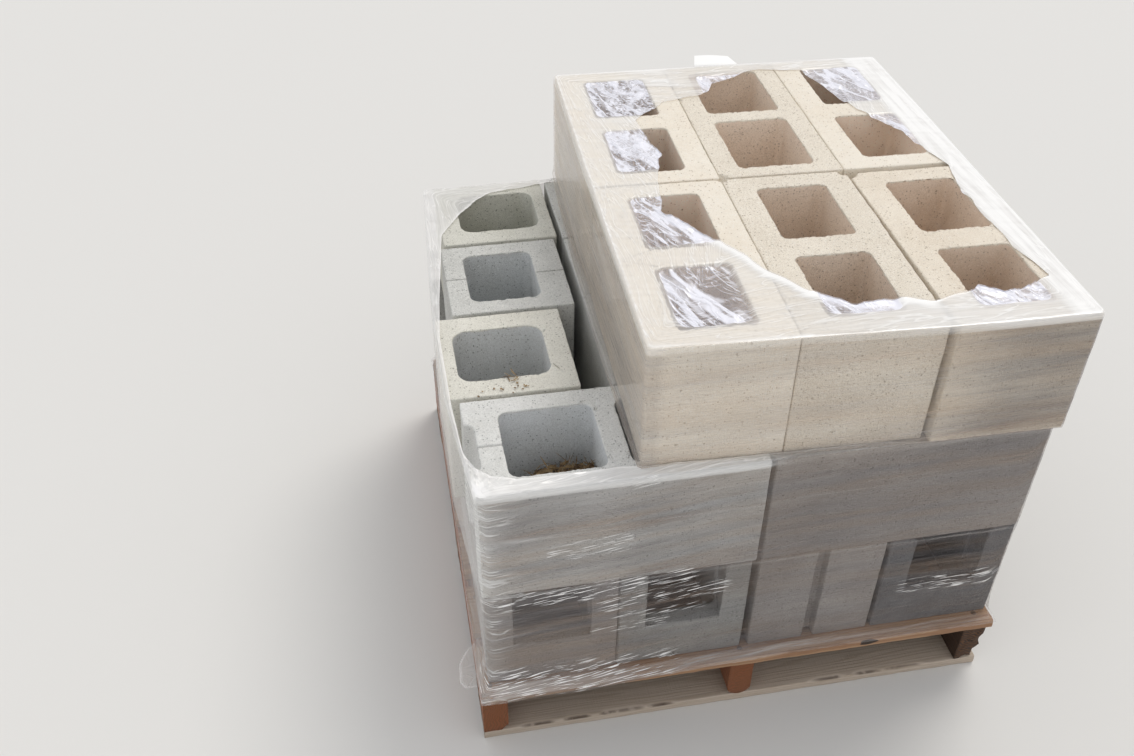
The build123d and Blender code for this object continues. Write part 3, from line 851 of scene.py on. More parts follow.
for number, spot in enumerate(stack_places):
    made = two_core_block(**closed_block, seed=101 + number, fine=58, corner=10.0, worn=1.1,
                          upturned=spot == "back_middle", chips=broken_corners.get(spot, ()))
    turn = slid_turn if spot == "front_right" else stack_turn
    add_block(f"buff_{spot}", f"buff_block_{spot}", made, turn, buff_mixes.get(spot, buff), "buff_concrete")

# Stretch film. Clear polyethylene 0.02 mm thick, pulled several times round the load from a roll half
# a metre wide. It spans straight from corner to corner, so its outline is the tightest one round the
# blocks. Its top margin snaps in over the rim, where it lies loose and crumpled.

film_off = 2.5
looks = np.radians(np.arange(0, 360, 0.75))


def reach_of(names, centre):
    """How far the film stands from a centre in each direction, when it goes round some nodes of the
    frame: their support function, max(x cos a + y sin a), and the film's own distance off them."""
    spots = []
    for name in names:
        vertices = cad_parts[name].data.vertices
        places = np.empty(3 * len(vertices), np.float32)
        vertices.foreach_get("co", places)
        spots.append(places.reshape(-1, 3)[:, :2].astype(float))
    spots = np.concatenate(spots) * metre - centre
    return (spots @ np.stack([np.cos(looks), np.sin(looks)])).max(0) + film_off


def pulled_radius(reach, bearing):
    """Distance from the centre to the tight outline at each bearing: the nearest of its support lines,
    reach / cos(bearing - a)."""
    lean = np.cos(np.asarray(bearing)[..., None] - looks)
    return np.where(lean > 0.03, reach / np.maximum(lean, 0.03), 1e6).min(-1)


def bearings_round(reach, spacing):
    """Bearings that are evenly spaced along the tight outline, and closer together round its corners."""
    fine = np.linspace(-np.pi, np.pi, 7201)
    ring = pulled_radius(reach, fine)[:, None] * np.stack([np.cos(fine), np.sin(fine)], 1)
    step = np.diff(ring, axis=0)
    heading = np.unwrap(np.arctan2(step[:, 1], step[:, 0]))
    weight = np.linalg.norm(step, axis=1) + 26 * np.abs(np.gradient(heading))
    run = np.concatenate([[0], np.cumsum(weight)])
    count = int(run[-1] / spacing)
    return np.interp(np.arange(count) / count * run[-1], run, fine)


def edge_radius(corners, centre, bearing):
    """Distance from the centre to a free edge at each bearing. The edge is straight runs between corner
    points, and each run is divided in parts, (1 - t) first + t next."""
    parts = 24
    corners = np.array(corners, float) - centre
    corners = corners[np.argsort(np.arctan2(corners[:, 1], corners[:, 0]))]
    ring = np.concatenate([corners[-1:], corners, corners[:1]])
    turn = np.unwrap(np.arctan2(ring[:, 1], ring[:, 0]))
    turn -= 2 * np.pi * np.round((turn[1] - np.arctan2(corners[0, 1], corners[0, 0])) / (2 * np.pi))
    share = np.linspace(0, 1, parts, endpoint=False)[:, None, None]
    runs = ring[:-1] * (1 - share) + ring[1:] * share
    runs = runs.transpose(1, 0, 2).reshape(-1, 2)
    angle = np.unwrap(np.arctan2(runs[:, 1], runs[:, 0]))
    angle -= 2 * np.pi * np.round((angle[parts] - turn[1]) / (2 * np.pi))
    return np.interp(bearing, angle, np.hypot(runs[:, 0], runs[:, 1]))


crinkle_depth = 0.002  # metres, as in every material


def pulled_film():
    """Clear film under tension: long fine streaks along the pull, some crossing at a slant. Where it
    hangs loose, white ridges run through it, with clear film between them: painted highlights standing
    for the creases' reflections. Short white dashes where Glint is set are painted glints. Gives how much
    the film covers, how warm and how white it is, and its height."""
    group, given, made = effect_group(
        "pulled film",
        [("Along", "Vector", None), ("Place", "Vector", None), ("Crumple", "Float", 0.0),
         ("Milk", "Float", 0.0), ("Glint", "Float", 0.0)],
        [("Cover", "Float", None), ("Warmth", "Float", None), ("White", "Float", None),
         ("Height", "Float", None)])
    along, place, crumple = (given.outputs[name] for name in ("Along", "Place", "Crumple"))

    def noise_on(vector, turn, scale, detail, rough=0.5, distortion=0.0):
        """Noise on turned coordinates, with so many lumps a metre each way."""
        at = node(group, "Mapping", {"Vector": vector}, vector_type="TEXTURE", Rotation=(0, 0, turn),
                  Scale=tuple(1 / part for part in scale)).outputs[0]
        return node(group, "TexNoise", {"Vector": at}, Scale=1.0, Detail=detail, Roughness=rough,
                    Distortion=distortion).outputs["Fac"]

    def ridge_of(noise, width, strength):
        """Thin bright lines where the noise passes through its middle value."""
        away = node(group, "Math", {0: sum_of(group, noise, -0.5)}, operation="ABSOLUTE").outputs[0]
        return stretch_of(group, away, 0.0, width, strength, 0.0)

    def product(*values):
        """A product in this group."""
        return product_of(group, *values)

    broad = noise_on(along, 0.035, (1.8, 17, 1), 4.0, 0.6)
    streak = noise_on(along, 0.03, (4.0, 230, 1), 4.0, 0.75)
    slanted = noise_on(along, 0.10, (5.0, 150, 1), 4.0, 0.7)
    hue = noise_on(along, 0.03, (3.0, 40, 1), 4.0)
    tight = sum_of(group, stretch_of(group, broad, 0.35, 0.68, 0.14, 0.34),
                   stretch_of(group, streak, 0.4, 0.66, -0.05, 0.16),
                   stretch_of(group, slanted, 0.46, 0.68, -0.02, 0.14))
    # Painted highlights: the white ridges of the loose film.
    long_ridges = sum_of(group, ridge_of(noise_on(place, 0.39, (32, 7, 1), 2.0, 0.5, 0.6), 0.055, 0.85),
                         ridge_of(noise_on(place, 0.6, (64, 14, 1), 2.0, 0.5, 0.8), 0.03, 0.5))
    crossing = noise_on(place, -0.5, (48, 22, 1), 3.0, 0.6, 0.9)
    short_ridges = sum_of(group, ridge_of(noise_on(place, 0.9, (80, 40, 1), 3.0, 0.5, 1.2), 0.05, 0.6),
                          stretch_of(group, crossing, 0.48, 0.6, 0.0, 0.4))
    dense = stretch_of(group, crumple, 0.62, 0.95, 0.08, 1.0)
    sheet = stretch_of(group, noise_on(place, 0.45, (24, 8, 1), 2.0, 0.5, 0.8), 0.53, 0.64, 0.0, 0.38)
    loose = sum_of(group, long_ridges, product(short_ridges, dense), sheet, 0.06)
    free = stretch_of(group, crumple, 0.35, 0.55)
    wisps = product(ridge_of(noise_on(along, 0.12, (7, 52, 1), 2.0, 0.5, 0.9), 0.03, 0.25),
                    stretch_of(group, crumple, 0.0, 0.25))
    # Painted glints: short white dashes.
    dash = product(stretch_of(group, noise_on(along, 0.09, (26, 480, 1), 1.5), 0.58, 0.64, 0.0, 0.95),
                   given.outputs["Glint"])
    calm = stretch_of(group, given.outputs["Milk"], 0.04, 0.14, 1.0, 0.4)
    cover = sum_of(group, product(tight, calm, sum_of(group, 1.0, product(free, -1.0))), product(loose, free))
    white = sum_of(group, given.outputs["Milk"], wisps, dash)
    cover = stretch_of(group, sum_of(group, cover, white), -0.1, 1.1, 0.0, 0.97)
    group.links.new(cover, made.inputs["Cover"])
    group.links.new(stretch_of(group, hue, 0.35, 0.65), made.inputs["Warmth"])
    group.links.new(stretch_of(group, sum_of(group, white, free), 0.02, 0.14), made.inputs["White"])
    facets = sum_of(group, product(long_ridges, 0.5), product(short_ridges, dense, 0.3), product(sheet, 0.8))
    ribs = sum_of(group, product(streak, 0.05), product(slanted, 0.08), product(broad, 0.25))
    group.links.new(sum_of(group, product(facets, free), ribs), made.inputs["Height"])
    return group


clear_grey, clear_tan = (0.49, 0.445, 0.415, 1), (0.59, 0.472, 0.37, 1)
shaded_film_grey, shaded_film_tan = (0.195, 0.18, 0.185, 1), (0.28, 0.21, 0.165, 1)
# The lavender white on the loose film's ridges is a painted reflection.
doubled_white, crease_highlight_white = (0.98, 0.97, 0.955, 1), (0.91, 0.91, 0.99, 1)
film_effect = pulled_film()
film, tree, shader, place = plain_material("stretch film")
along = node(tree, "Attribute", attribute_name="along film").outputs["Vector"]
fields = {name: node(tree, "Attribute", attribute_name=name.lower()).outputs["Fac"]
          for name in ("Crumple", "Milk", "Glint")}
effect = use_group(tree, film_effect, Along=along, Place=place, **fields)
facing = node(tree, "LayerWeight", Blend=0.35).outputs["Facing"]
slanting = product_of(tree, facing, facing, facing, 0.5)
# Painted shade: two fields darken the film, one adding to its cover and one turning its tint to a dark
# grey-tan.
shade_cover = node(tree, "Attribute", attribute_name="shade_cover").outputs["Fac"]
tree.links.new(sum_of(tree, effect.outputs["Cover"], slanting, shade_cover), shader.inputs["Alpha"])
tint = blend_of(tree, effect.outputs["Warmth"], clear_grey, clear_tan)
painted_shade = node(tree, "Attribute", attribute_name="painted_shade").outputs["Fac"]
tint = blend_of(tree, painted_shade, tint, blend_of(tree, effect.outputs["Warmth"], shaded_film_grey, shaded_film_tan))
bright = blend_of(tree, stretch_of(tree, fields["Crumple"], 0.3, 0.55), doubled_white, crease_highlight_white)
tint = blend_of(tree, effect.outputs["White"], tint, bright)
tree.links.new(tint, shader.inputs["Base Color"])
shader.inputs["Roughness"].default_value = 0.14
shader.inputs["Specular IOR Level"].default_value = 0.8
use_bump(tree, shader, effect.outputs["Height"], crinkle_depth)


def wrapped(name, node_name, centre, bearing, profile, inner, ripple, fields_of):
    """A ring of film. The profile lists, from the hem up, each row's level, its outline and its share
    of the way in from the rim to the free edge. Ripple gives each point's rise over that surface, and
    fields_of says how crumpled and milky the film is there, and how much painted shade it carries."""
    rows = []
    for level, radius, share in profile:
        across = radius + (inner - radius) * share if share > 0 else radius
        rows.append(np.stack([centre[0] + across * np.cos(bearing), centre[1] + across * np.sin(bearing),
                              np.broadcast_to(level, bearing.shape)], 1))
    points = np.stack(rows)
    lap = np.array([share for _, _, share in profile], float)
    out = np.stack([np.cos(bearing), np.sin(bearing), np.zeros_like(bearing)], 1)
    rim = points[np.argmax(lap > 0) - 1]
    run = np.concatenate([[0], np.cumsum(np.linalg.norm(np.diff(rim, axis=0), axis=1))])
    rise = ripple(points, lap, np.linalg.norm(points - rim, axis=2), run)
    over = (lap > 0)[:, None, None]
    points = points + np.where(over, [0, 0, 1], out) * rise[..., None]
    climb = np.concatenate([np.zeros((1, len(bearing))),
                            np.cumsum(np.linalg.norm(np.diff(points, axis=0), axis=2), axis=0)])
    along = np.stack([np.broadcast_to(run, climb.shape), climb, np.zeros_like(climb)], -1) / metre
    piece = add_piece(name, points.reshape(-1, 3), grid_faces(*points.shape[:2]), film, "stretch_film")
    shared_field(piece, "along film", along, "FLOAT_VECTOR")
    for key, values in fields_of(points, lap).items():
        shared_field(piece, key, np.broadcast_to(values, points.shape[:2]))
    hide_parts(node_name)


def band(value, low, high, soft):
    """1 between low and high, easing to 0 over a soft margin."""
    return smooth(value, low - soft, low) * (1 - smooth(value, high, high + soft))


def creased(points, spacing, seed):
    """Sharp-ridged random heights between 0 and 1: 1 - |noise|, squared."""
    ridge = 1 - np.abs(lumps(points, spacing, seed)) * 2.2
    return np.clip(ridge, 0, 1) ** 2


# Lower wrap. It holds the two grey layers to the deck: its hem hangs over the edge of the deck, low at
# the left corner and rising to the right, and its top margin lies over the rim of the open blocks.

lower_centre = np.array([0.0, 10.0])
deck_reach = reach_of([f"deck_board_{k}" for k in range(1, 8)], lower_centre)
bottom_reach = reach_of(
    ["bond_beam_left", "bond_beam_right", *[f"bottom_back_block_{k}" for k in range(1, 5)]], lower_centre)
middle_reach = np.maximum(bottom_reach, reach_of(
    ["stretcher_front_left", "stretcher_front_right", "half_block_front", "half_block_back",
     *[f"hidden_half_{k}" for k in range(1, 4)]], lower_centre))
lower_bearing = bearings_round(middle_reach, spacing=5.2)
rim_radius = pulled_radius(middle_reach, lower_bearing)
lap_corners = [(-378, 251), (-343, 311), (-303, 361), (-278, 381), (-220, 390), (-166, 401), (-160, 413),
               (-100, 414), (200, 414), (402, 413), (404, 380), (405, 0), (405, -384), (300, -388),
               (225, -388), (150, -377), (0, -373), (-172, -367), (-200, -362), (-260, -364), (-338, -362),
               (-372, -350), (-392, -332), (-403, -300), (-408, -200), (-409, -40), (-400, 61), (-386, 180),
               (-383, 211)]
lap_edge = np.minimum(edge_radius(lap_corners, lower_centre, lower_bearing), rim_radius - 0.8)
lower_x = lower_centre[0] + rim_radius * np.cos(lower_bearing)
lower_y = lower_centre[1] + rim_radius * np.sin(lower_bearing)
at_front = smooth(-lower_y, 300, 380)
hem_rise = (112 + 3 * lumps(np.stack([lower_x, lower_y, 0 * lower_x], 1), 60, 5)
            + at_front * (-6 + 15 * smooth(lower_x, -330, 60)))
deck_edge, layer_top = 122.0, 509.0
profile = []
deck_radius = pulled_radius(deck_reach, lower_bearing)
bottom_radius = pulled_radius(bottom_reach, lower_bearing)
for share in np.linspace(0, 1, 5):
    profile.append((hem_rise + (deck_edge - hem_rise) * share, deck_radius + 0.5, 0))
for share in np.linspace(0.08, 1, 10):
    bow = share ** 0.6
    profile.append((deck_edge + 40 * share ** 1.5, deck_radius + (bottom_radius - deck_radius) * bow, 0))
for level in np.linspace(168, 296, 20):
    profile.append((level, bottom_radius, 0))
for share in np.linspace(0.1, 1, 8):
    profile.append((298 + 15 * share, bottom_radius + (rim_radius - bottom_radius) * smooth(share, 0, 1), 0))
for level in np.linspace(320, layer_top - 3, 28):
    profile.append((level, rim_radius, 0))
for angle in np.radians([30, 60, 90]):
    profile.append((layer_top + 1.2 - 4 * (1 - np.sin(angle)), rim_radius - 3 * (1 - np.cos(angle)), 0))
for share in np.linspace(0.04, 1, 16):
    profile.append((layer_top + 1.4, rim_radius - 3, share))


def lower_ripple(points, lap, inward, run):
    """Long shallow ribs on the sides; on the rim, folds that gather towards the near left corner."""
    x, y, z = points[..., 0], points[..., 1], points[..., 2]
    side = 0.35 * lumps(points * [0.03, 0.03, 1], 16, 3) + 0.3 * creased(points * [0.05, 0.05, 1], 30, 4)
    to_corner = np.hypot(x + 412, y + 350)
    round_corner = np.stack([np.arctan2(y + 330, x + 380) * 60, z * 0, z * 0], -1)
    fold = 5 * creased(round_corner, 9, 6) * np.exp(-to_corner / 60)
    drawn = np.stack([0.25 * run + 0 * inward, inward, 0 * inward], -1)
    top = 0.6 + 1.5 * creased(drawn, 14, 8) + 0.5 * creased(points, 9, 9) + fold
    return np.where(lap[:, None] > 0, top, np.clip(side, -0.4, 2.2) + 0.4 * fold)


# Rows of white dashes on the front of the lower wrap: painted glints.
slanted_dashes = [((300, 322, 7), (-400, -110, 30), 0.8), ((266, 284, 6), (-210, -40, 30), 0.7),
                  ((238, 248, 5), (-190, -90, 30), 0.8), ((390, 412, 8), (-290, -200, 20), 0.5),
                  ((214, 226, 4), (-225, -140, 20), 1.0)]
level_dashes = [((108, 140, 14), (-400, -150, 60), 0.8), ((196, 222, 8), (250, 400, 20), 0.6),
                ((500, 510, 4), (-190, -165, 12), 1.0)]


def lower_fields(points, lap):
    """Milky where the film lies over itself, and crumpled on the rim. The rows of white dashes on the front,
    between the courses and under the deck's edge, are painted glints; each row of dashes is a band of
    heights, a band from left to right and a strength. The white of the front strip and of the band round
    the rim fades towards the right: painted highlight on the folded film. All round but for its near left
    corner the film's tint is darkened, and on the front and at the back it covers more: painted shade."""
    x, y, z = points[..., 0], points[..., 1], points[..., 2]
    on_top = np.broadcast_to(lap[:, None] > 0, x.shape)
    front = (y < -360) & ~on_top
    slope = z - 0.035 * x
    # Painted glints: rows of white dashes on the front.
    painted_glints = sum(strength * band(height, *tall) * band(x, *wide)
                  for height, dashes in ((slope, slanted_dashes), (z, level_dashes))
                  for tall, wide, strength in dashes)
    corner = np.exp(-np.hypot(x + 405, y + 370) / 45)
    gap = np.hypot(x - lower_centre[0], y - lower_centre[1]) - lap_edge
    # The front strip and the rim band are whiter towards the left: painted highlight.
    strip = smooth(-y, 345, 372) * (0.15 + 0.85 * smooth(-x, -40, 60))
    fan = 0.5 + 0.5 * lumps(np.stack([np.arctan2(y + 385, x + 412) * 70, 0 * x, 0 * x], -1), 5, 22)
    free_rim = np.exp(-np.abs(gap) / 1.6)
    milk = np.where(on_top, 0.10 + 0.20 * strip + 0.45 * corner * fan + 0.30 * free_rim, 0.0)
    milk = milk + (0.05 + 0.24 * smooth(-x, -40, 60)) * band(z, 504, 512, 4) + 0.12 * corner
    milk = milk + np.where(~on_top & (x < -395), 0.10, 0) + 0.08 * band(z, 118, 128, 6)
    milk = milk + np.where(front, 0.05 * band(slope, 431, 435, 2) + 0.06 * band(z, 311, 317, 2), 0)
    crumple = np.where(on_top, 0.12 + 0.2 * corner + 0.1 * strip, 0.2 * corner)
    # Painted shade: the film's tint is darkened on the sides past the near left corner, and the front and the
    # back get extra cover.
    past_corner, left_part = smooth(x, -404, -380), smooth(-x, 150, 220)
    painted_shade = np.where(on_top, 0, past_corner * (1 - 0.25 * front * left_part) * smooth(-z, -512, -500))
    front_shade = np.maximum(left_part, smooth(z, 312, 322) * (0.3 + 0.7 * smooth(-x, -6, 4)))
    shade_cover = np.where(front, 0.21 * front_shade * past_corner, 0) + np.where(~on_top & (y > 395), 0.25, 0)
    return {"crumple": crumple, "milk": milk, "glint": np.where(front, painted_glints, 0), "painted_shade": painted_shade,
            "shade_cover": shade_cover}


wrapped("lower_wrap", "stretch_wrap_lower", lower_centre, lower_bearing, profile, lap_edge, lower_ripple,
        lower_fields)

# Upper wrap. It runs round the buff stack alone, and its top margin lies far in over the left cores,
# where it sags and glitters, and less far along the front, the back and the right.

stack_names = [f"buff_block_{spot}" for spot in stack_places]
upper_centre = np.array([133.0, 20.0])
stack_reach = reach_of(stack_names, upper_centre)
upper_bearing = bearings_round(stack_reach, spacing=4.4)
stack_radius = pulled_radius(stack_reach, upper_bearing)
free_corners = [
    (-78, -49), (-38, -119), (-16, -139), (22, -219), (62, -279), (92, -299), (112, -314), (152, -309),
    (182, -314), (212, -329), (262, -319), (286, -304), (312, -324), (346, -317), (388, -301), (384, -269),
    (374, -229), (376, -139), (376, -49), (392, 6), (380, 51), (376, 81), (364, 136), (360, 156),
    (332, 196), (324, 211), (316, 251), (312, 281), (302, 331), (292, 361), (286, 381), (252, 386),
    (212, 393), (182, 386), (142, 371), (116, 361), (102, 331), (82, 311), (42, 301), (12, 291),
    (-24, 266), (-48, 231), (-44, 171), (-36, 121), (-48, 81), (-58, 41), (-70, -19)]
free_edge = edge_radius(free_corners, upper_centre, upper_bearing)
free_edge += 3.0 * lumps(np.stack([300 * upper_bearing, 0 * upper_bearing, 0 * upper_bearing], 1), 22, 12)
stack_top = 703.0
left_side = smooth(-np.cos(upper_bearing - np.radians(stack_turn)), 0.45, 0.75)
profile = []
for share in np.linspace(0, 1, 6):
    profile.append((511 + 24 * share, stack_radius + 9 * left_side * (1 - share) ** 2, 0))
for level in np.linspace(541, stack_top - 3, 24):
    profile.append((level, stack_radius, 0))
for angle in np.radians([22, 45, 68, 90]):
    profile.append((stack_top + 1.2 - 4 * (1 - np.sin(angle)), stack_radius - 3 * (1 - np.cos(angle)), 0))
for share in np.linspace(0.02, 0.985, 62):
    profile.append((stack_top + 1.2, stack_radius - 3, share))
for angle in np.radians([60, 120, 180, 240]):
    roll_level = stack_top + 1.3 + 0.9 * (1 - np.cos(angle))
    profile.append((roll_level, stack_radius - 3, 0.992 + 0.005 * np.sin(angle)))


def over_cores(x, y):
    """1 well inside the mouths of the buff blocks' cores and 0 on their walls: the distance to each
    mouth's outline, a rectangle with round corners, eased over the last centimetre."""
    mask = np.zeros_like(x)
    a, round_by = np.radians(stack_turn), 15.0
    from_middle = (closed_block["core_long"] + closed_block["web"]) / 2
    flat_wide, flat_long = (closed_block[key] / 2 - round_by for key in ("core_wide", "core_long"))
    for block in stack_names:
        low, high = (np.array(corner)[:2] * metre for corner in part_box(block))
        dx, dy = x - (low[0] + high[0]) / 2, y - (low[1] + high[1]) / 2
        right, back = dx * np.cos(a) + dy * np.sin(a), dy * np.cos(a) - dx * np.sin(a)
        past_x, past_y = np.abs(right) - flat_wide, np.abs(np.abs(back) - from_middle) - flat_long
        outside = np.hypot(np.maximum(past_x, 0), np.maximum(past_y, 0))
        outside = outside + np.minimum(np.maximum(past_x, past_y), 0) - round_by
        mask = np.maximum(mask, smooth(-outside, -1, 9))
    return mask


def upper_ripple(points, lap, inward, run):
    """Ribs on the sides; on top, a film that sags into the cores with sharp creases and folds drawn
    from the near left towards the free edge."""
    x, y = points[..., 0], points[..., 1]
    side = 0.3 * lumps(points * [0.03, 0.03, 1], 14, 13) + 0.3 * creased(points * [0.05, 0.05, 1], 24, 14)
    hollow = over_cores(x, y)
    drawn = points * [1, 0.3, 0]
    crease = 2.6 * creased(drawn, 21, 15) + 1.0 * creased(drawn, 9, 16)
    sag = hollow * (-3.5 - 2.5 * lumps(points, 60, 18) + 1.0 * crease - 1.2 * lumps(points, 30, 19))
    top = (1 - hollow) * (0.3 + 0.12 * crease) + sag
    return np.where(lap[:, None] > 0, top, np.clip(side, -0.4, 2.2))


def upper_fields(points, lap):
    """Crumpled over the cores, where its ridges carry painted highlights, milky along the rim, in two thin
    veils at the back and beside the free edge, which is rolled. A band round the top of the sides, whiter
    towards the right, is painted highlight, and the film is darkened on the right side and a little on the
    left one: painted shade."""
    x, y, z = points[..., 0], points[..., 1], points[..., 2]
    on_top = np.broadcast_to(lap[:, None] > 0, x.shape)
    hollow = over_cores(x, y)
    gap = np.abs(np.hypot(x - upper_centre[0], y - upper_centre[1]) - free_edge)
    bright_edge = band(x, -95, 200, 25) * band(y, -345, -60, 30)
    fold = 1.5 * np.exp(-(gap / 15) ** 2) * bright_edge + (0.4 + bright_edge) * np.exp(-gap / 1.6)
    veils = 0.8 * np.exp(-((x - 20) / 45) ** 2) * smooth(y, 325, 360)
    veils += 0.7 * np.exp(-((x + 80) / 50) ** 2 - ((y - 232) / 22) ** 2)
    rim = 1 - smooth(lap, 0.0, 0.055)[:, None]
    right_strip = smooth(x, 368, 388) * (0.32 + 0.16 * lumps(np.stack([x, y * 0.08, 0 * x], -1), 6, 23))
    streaky = 0.5 + 0.5 * lumps(np.stack([x * 0.2 + y * 0.9, y * 0.12, 0 * x], -1), 7, 21)
    milk = np.where(on_top, 0.11 + (0.11 + 0.30 * rim) * streaky + 0.16 * rim + right_strip, 0)
    milk = milk + np.where(on_top, 0.4 * veils * streaky, 0)
    milk = milk * (1 - 0.9 * hollow) + np.where(on_top, 0.5 * fold, 0)
    # Painted highlight: a white band round the top of the sides, stronger towards the right.
    milk = milk + (0.16 + 0.16 * smooth(x, 0, 300)) * band(z, 698, 707, 4)
    milk = milk + np.where(~on_top & (x < -150), 0.05, 0)
    milk = np.where(lap[:, None] > 0.988, -0.4, milk)
    back = smooth(y, -170, 60)
    loose = np.where(x < 60, 0.6 + 0.34 * back - 0.13 * smooth(x, -70, -30) * (1 - back), 0.74)
    crumple = np.where(on_top, 0.17 * (1 - hollow) + hollow * loose, 0.0)
    # Painted shade on the right side and a little on the left one.
    painted_shade = np.where(on_top, 0, np.maximum(smooth(x, 170, 330), 0.5 * smooth(-x, 150, 163)))
    return {"crumple": crumple, "milk": np.minimum(milk, 1), "painted_shade": painted_shade, "shade_cover": 0.22 * painted_shade}


wrapped("upper_wrap", "stretch_wrap_upper", upper_centre, upper_bearing, profile, free_edge, upper_ripple,
        upper_fields)

# Small loose things. A tail of film stands off the near left corner, a white slip of paper is caught
# behind the back rim, dry leaves and needles have blown into the nearest core, and there are nails.


def drawn_edge(corners, count):
    """Points spread along an edge of a loose strip, by equal shares between its corner points."""
    corners = np.array(corners, float)
    at, stops = np.linspace(0, 1, count), np.linspace(0, 1, len(corners))
    return np.stack([np.interp(at, stops, corners[:, k]) for k in range(3)], 1)


tail_root = drawn_edge([(-405, -397, 246), (-404, -399, 215), (-404, -401, 180), (-406, -404, 142)], 40)
tail_rim = drawn_edge([(-406, -399, 248), (-424, -402, 226), (-436, -404, 196), (-438, -405, 165),
                       (-430, -405, 146), (-410, -405, 139)], 40)
t = np.linspace(0, 1, 14)[:, None, None]
tail = tail_root * (1 - t) + tail_rim * t
tail[..., 1] += 7 * t[..., 0] * lumps(tail, 24, 61)
piece = add_piece("loose_film_tail", tail.reshape(-1, 3),
                  grid_faces(*tail.shape[:2], closed_columns=False), film, "stretch_film")
tail_milk = 0.16 * (0.3 + 1.7 * smooth(t[..., 0], 0.85, 1))
shared_field(piece, "along film", tail / metre, "FLOAT_VECTOR")
shared_field(piece, "milk", np.broadcast_to(tail_milk, tail.shape[:2]))
shared_field(piece, "crumple", np.full(tail.shape[:2], 0.12))

paper, _, shader, _ = plain_material("white paper")
shader.inputs["Base Color"].default_value = (0.97, 0.97, 0.96, 1)
shader.inputs["Roughness"].default_value = 0.6
s, t = np.meshgrid(np.linspace(0, 1, 24), np.linspace(0, 1, 14))
up, over = smooth(t, 0.0, 0.55) * 32, np.maximum(t - 0.5, 0) * 2
slip_x = 103 + 82 * s + over * (8 - 20 * s)
slip_y = 428.2 - 2.6 * s + 31 * over
slip_z = 672 + up + 6 * over - 3 * s + 1.2 * np.sin(4 * s) * over
slip = add_piece("paper_slip", np.stack([slip_x, slip_y, slip_z], -1).reshape(-1, 3),
                 grid_faces(*s.shape, closed_columns=False), paper)


def litter(centre, spread, count, long, wide, flatness, seed):
    """Dry leaves or needles: flat tubes, widest at the middle and drawn to a point at both ends, each
    curled to its own radius and turned its own way."""
    chance = np.random.default_rng(seed)
    s, turn = np.meshgrid(np.linspace(-1, 1, 9), np.arange(6) * np.pi / 3, indexing="ij")
    length = long * chance.uniform(0.6, 1.2, (count, 1, 1))
    width = wide * chance.uniform(0.6, 1.3, (count, 1, 1)) * np.sqrt(np.maximum(1 - s * s, 0.0))
    curl = chance.uniform(-0.35, 0.35, (count, 1, 1)) * length
    shape = np.stack([s * length / 2, width * np.cos(turn) / 2,
                      curl * s * s + width * (0.10 * np.sin(turn) + 0.3 * np.cos(turn) ** 2)], -1)
    yaw = chance.uniform(0, 2 * np.pi, count)
    pitch = chance.normal(0, flatness, count)
    roll = chance.normal(0, flatness, count)
    cy, sy, cp, sp, cr, sr = (f(a) for a in (yaw, pitch, roll) for f in (np.cos, np.sin))
    frame_of = np.stack([np.stack([cy * cp, sy * cp, -sp], -1),
                         np.stack([cy * sp * sr - sy * cr, sy * sp * sr + cy * cr, cp * sr], -1),
                         np.stack([cy * sp * cr + sy * sr, sy * sp * cr - cy * sr, cp * cr], -1)], 1)
    shape = np.einsum("nijk,nkl->nijl", shape, frame_of)
    shape += (np.array(centre) + chance.normal(0, 1, (count, 3)).clip(-1.6, 1.6) * spread)[:, None, None]
    return shape.reshape(-1, 3), repeated_faces(*s.shape, count)


dry_leaf, tree, shader, place = plain_material("dry leaf")
tone = node(tree, "TexNoise", {"Vector": place}, Scale=70.0, Detail=2.0).outputs["Fac"]
dark_leaf, pale_leaf = (0.10, 0.055, 0.025, 1), (0.42, 0.29, 0.15, 1)
tint = blend_of(tree, stretch_of(tree, tone, 0.35, 0.65), dark_leaf, pale_leaf)
tree.links.new(tint, shader.inputs["Base Color"])
shader.inputs["Roughness"].default_value = 0.8
turn, ring = np.meshgrid(np.linspace(0, 2 * np.pi, 44, endpoint=False), np.linspace(0, 1, 22))
rounded = (np.abs(np.cos(turn)) ** 5 + np.abs(np.sin(turn)) ** 5) ** -0.2
reach = np.clip(ring / 0.6, 0.001, 1) * np.where(ring > 0.98, 0.001, 1)
heap_x = -260 + 62 * reach * rounded * np.cos(turn)
heap_y = -311 + 63 * reach * rounded * np.sin(turn)
crown = 388 + 14 * smooth(heap_y, -330, -250) + 9 * lumps(np.stack([heap_x, heap_y, 0 * turn], -1), 11, 5)
heap_z = np.where(ring < 0.6, crown - 10 * smooth(reach, 0.8, 1), 378 - 60 * smooth(ring, 0.6, 0.95))
points = np.stack([heap_x, heap_y, heap_z], -1).reshape(-1, 3)
add_piece("leaf_heap", *weld(points, grid_faces(*turn.shape)[:, ::-1]), dry_leaf)
for name, where, spread, count, long, wide, flatness, seed in (
        ("dry_leaves", (-258, -262, 406), (25, 11, 6), 110, 22, 8, 0.7, 1),
        ("dry_needles", (-258, -262, 412), (27, 11, 7), 120, 40, 1.4, 0.5, 2),
        ("straw_on_block", (-311, -154, 511.5), (6, 6, 0.6), 7, 26, 1.6, 0.08, 3),
        ("grit_on_block", (-330, -176, 510.5), (26, 7, 0.2), 14, 4, 2.6, 0.1, 4)):
    points, faces = litter(where, spread, count, long, wide, flatness, seed)
    add_piece(name, *weld(points, faces), dry_leaf)

steel, _, shader, _ = plain_material("rusty nail")
shader.inputs["Base Color"].default_value = (0.16, 0.09, 0.055, 1)
shader.inputs["Metallic"].default_value = 0.6
shader.inputs["Roughness"].default_value = 0.55


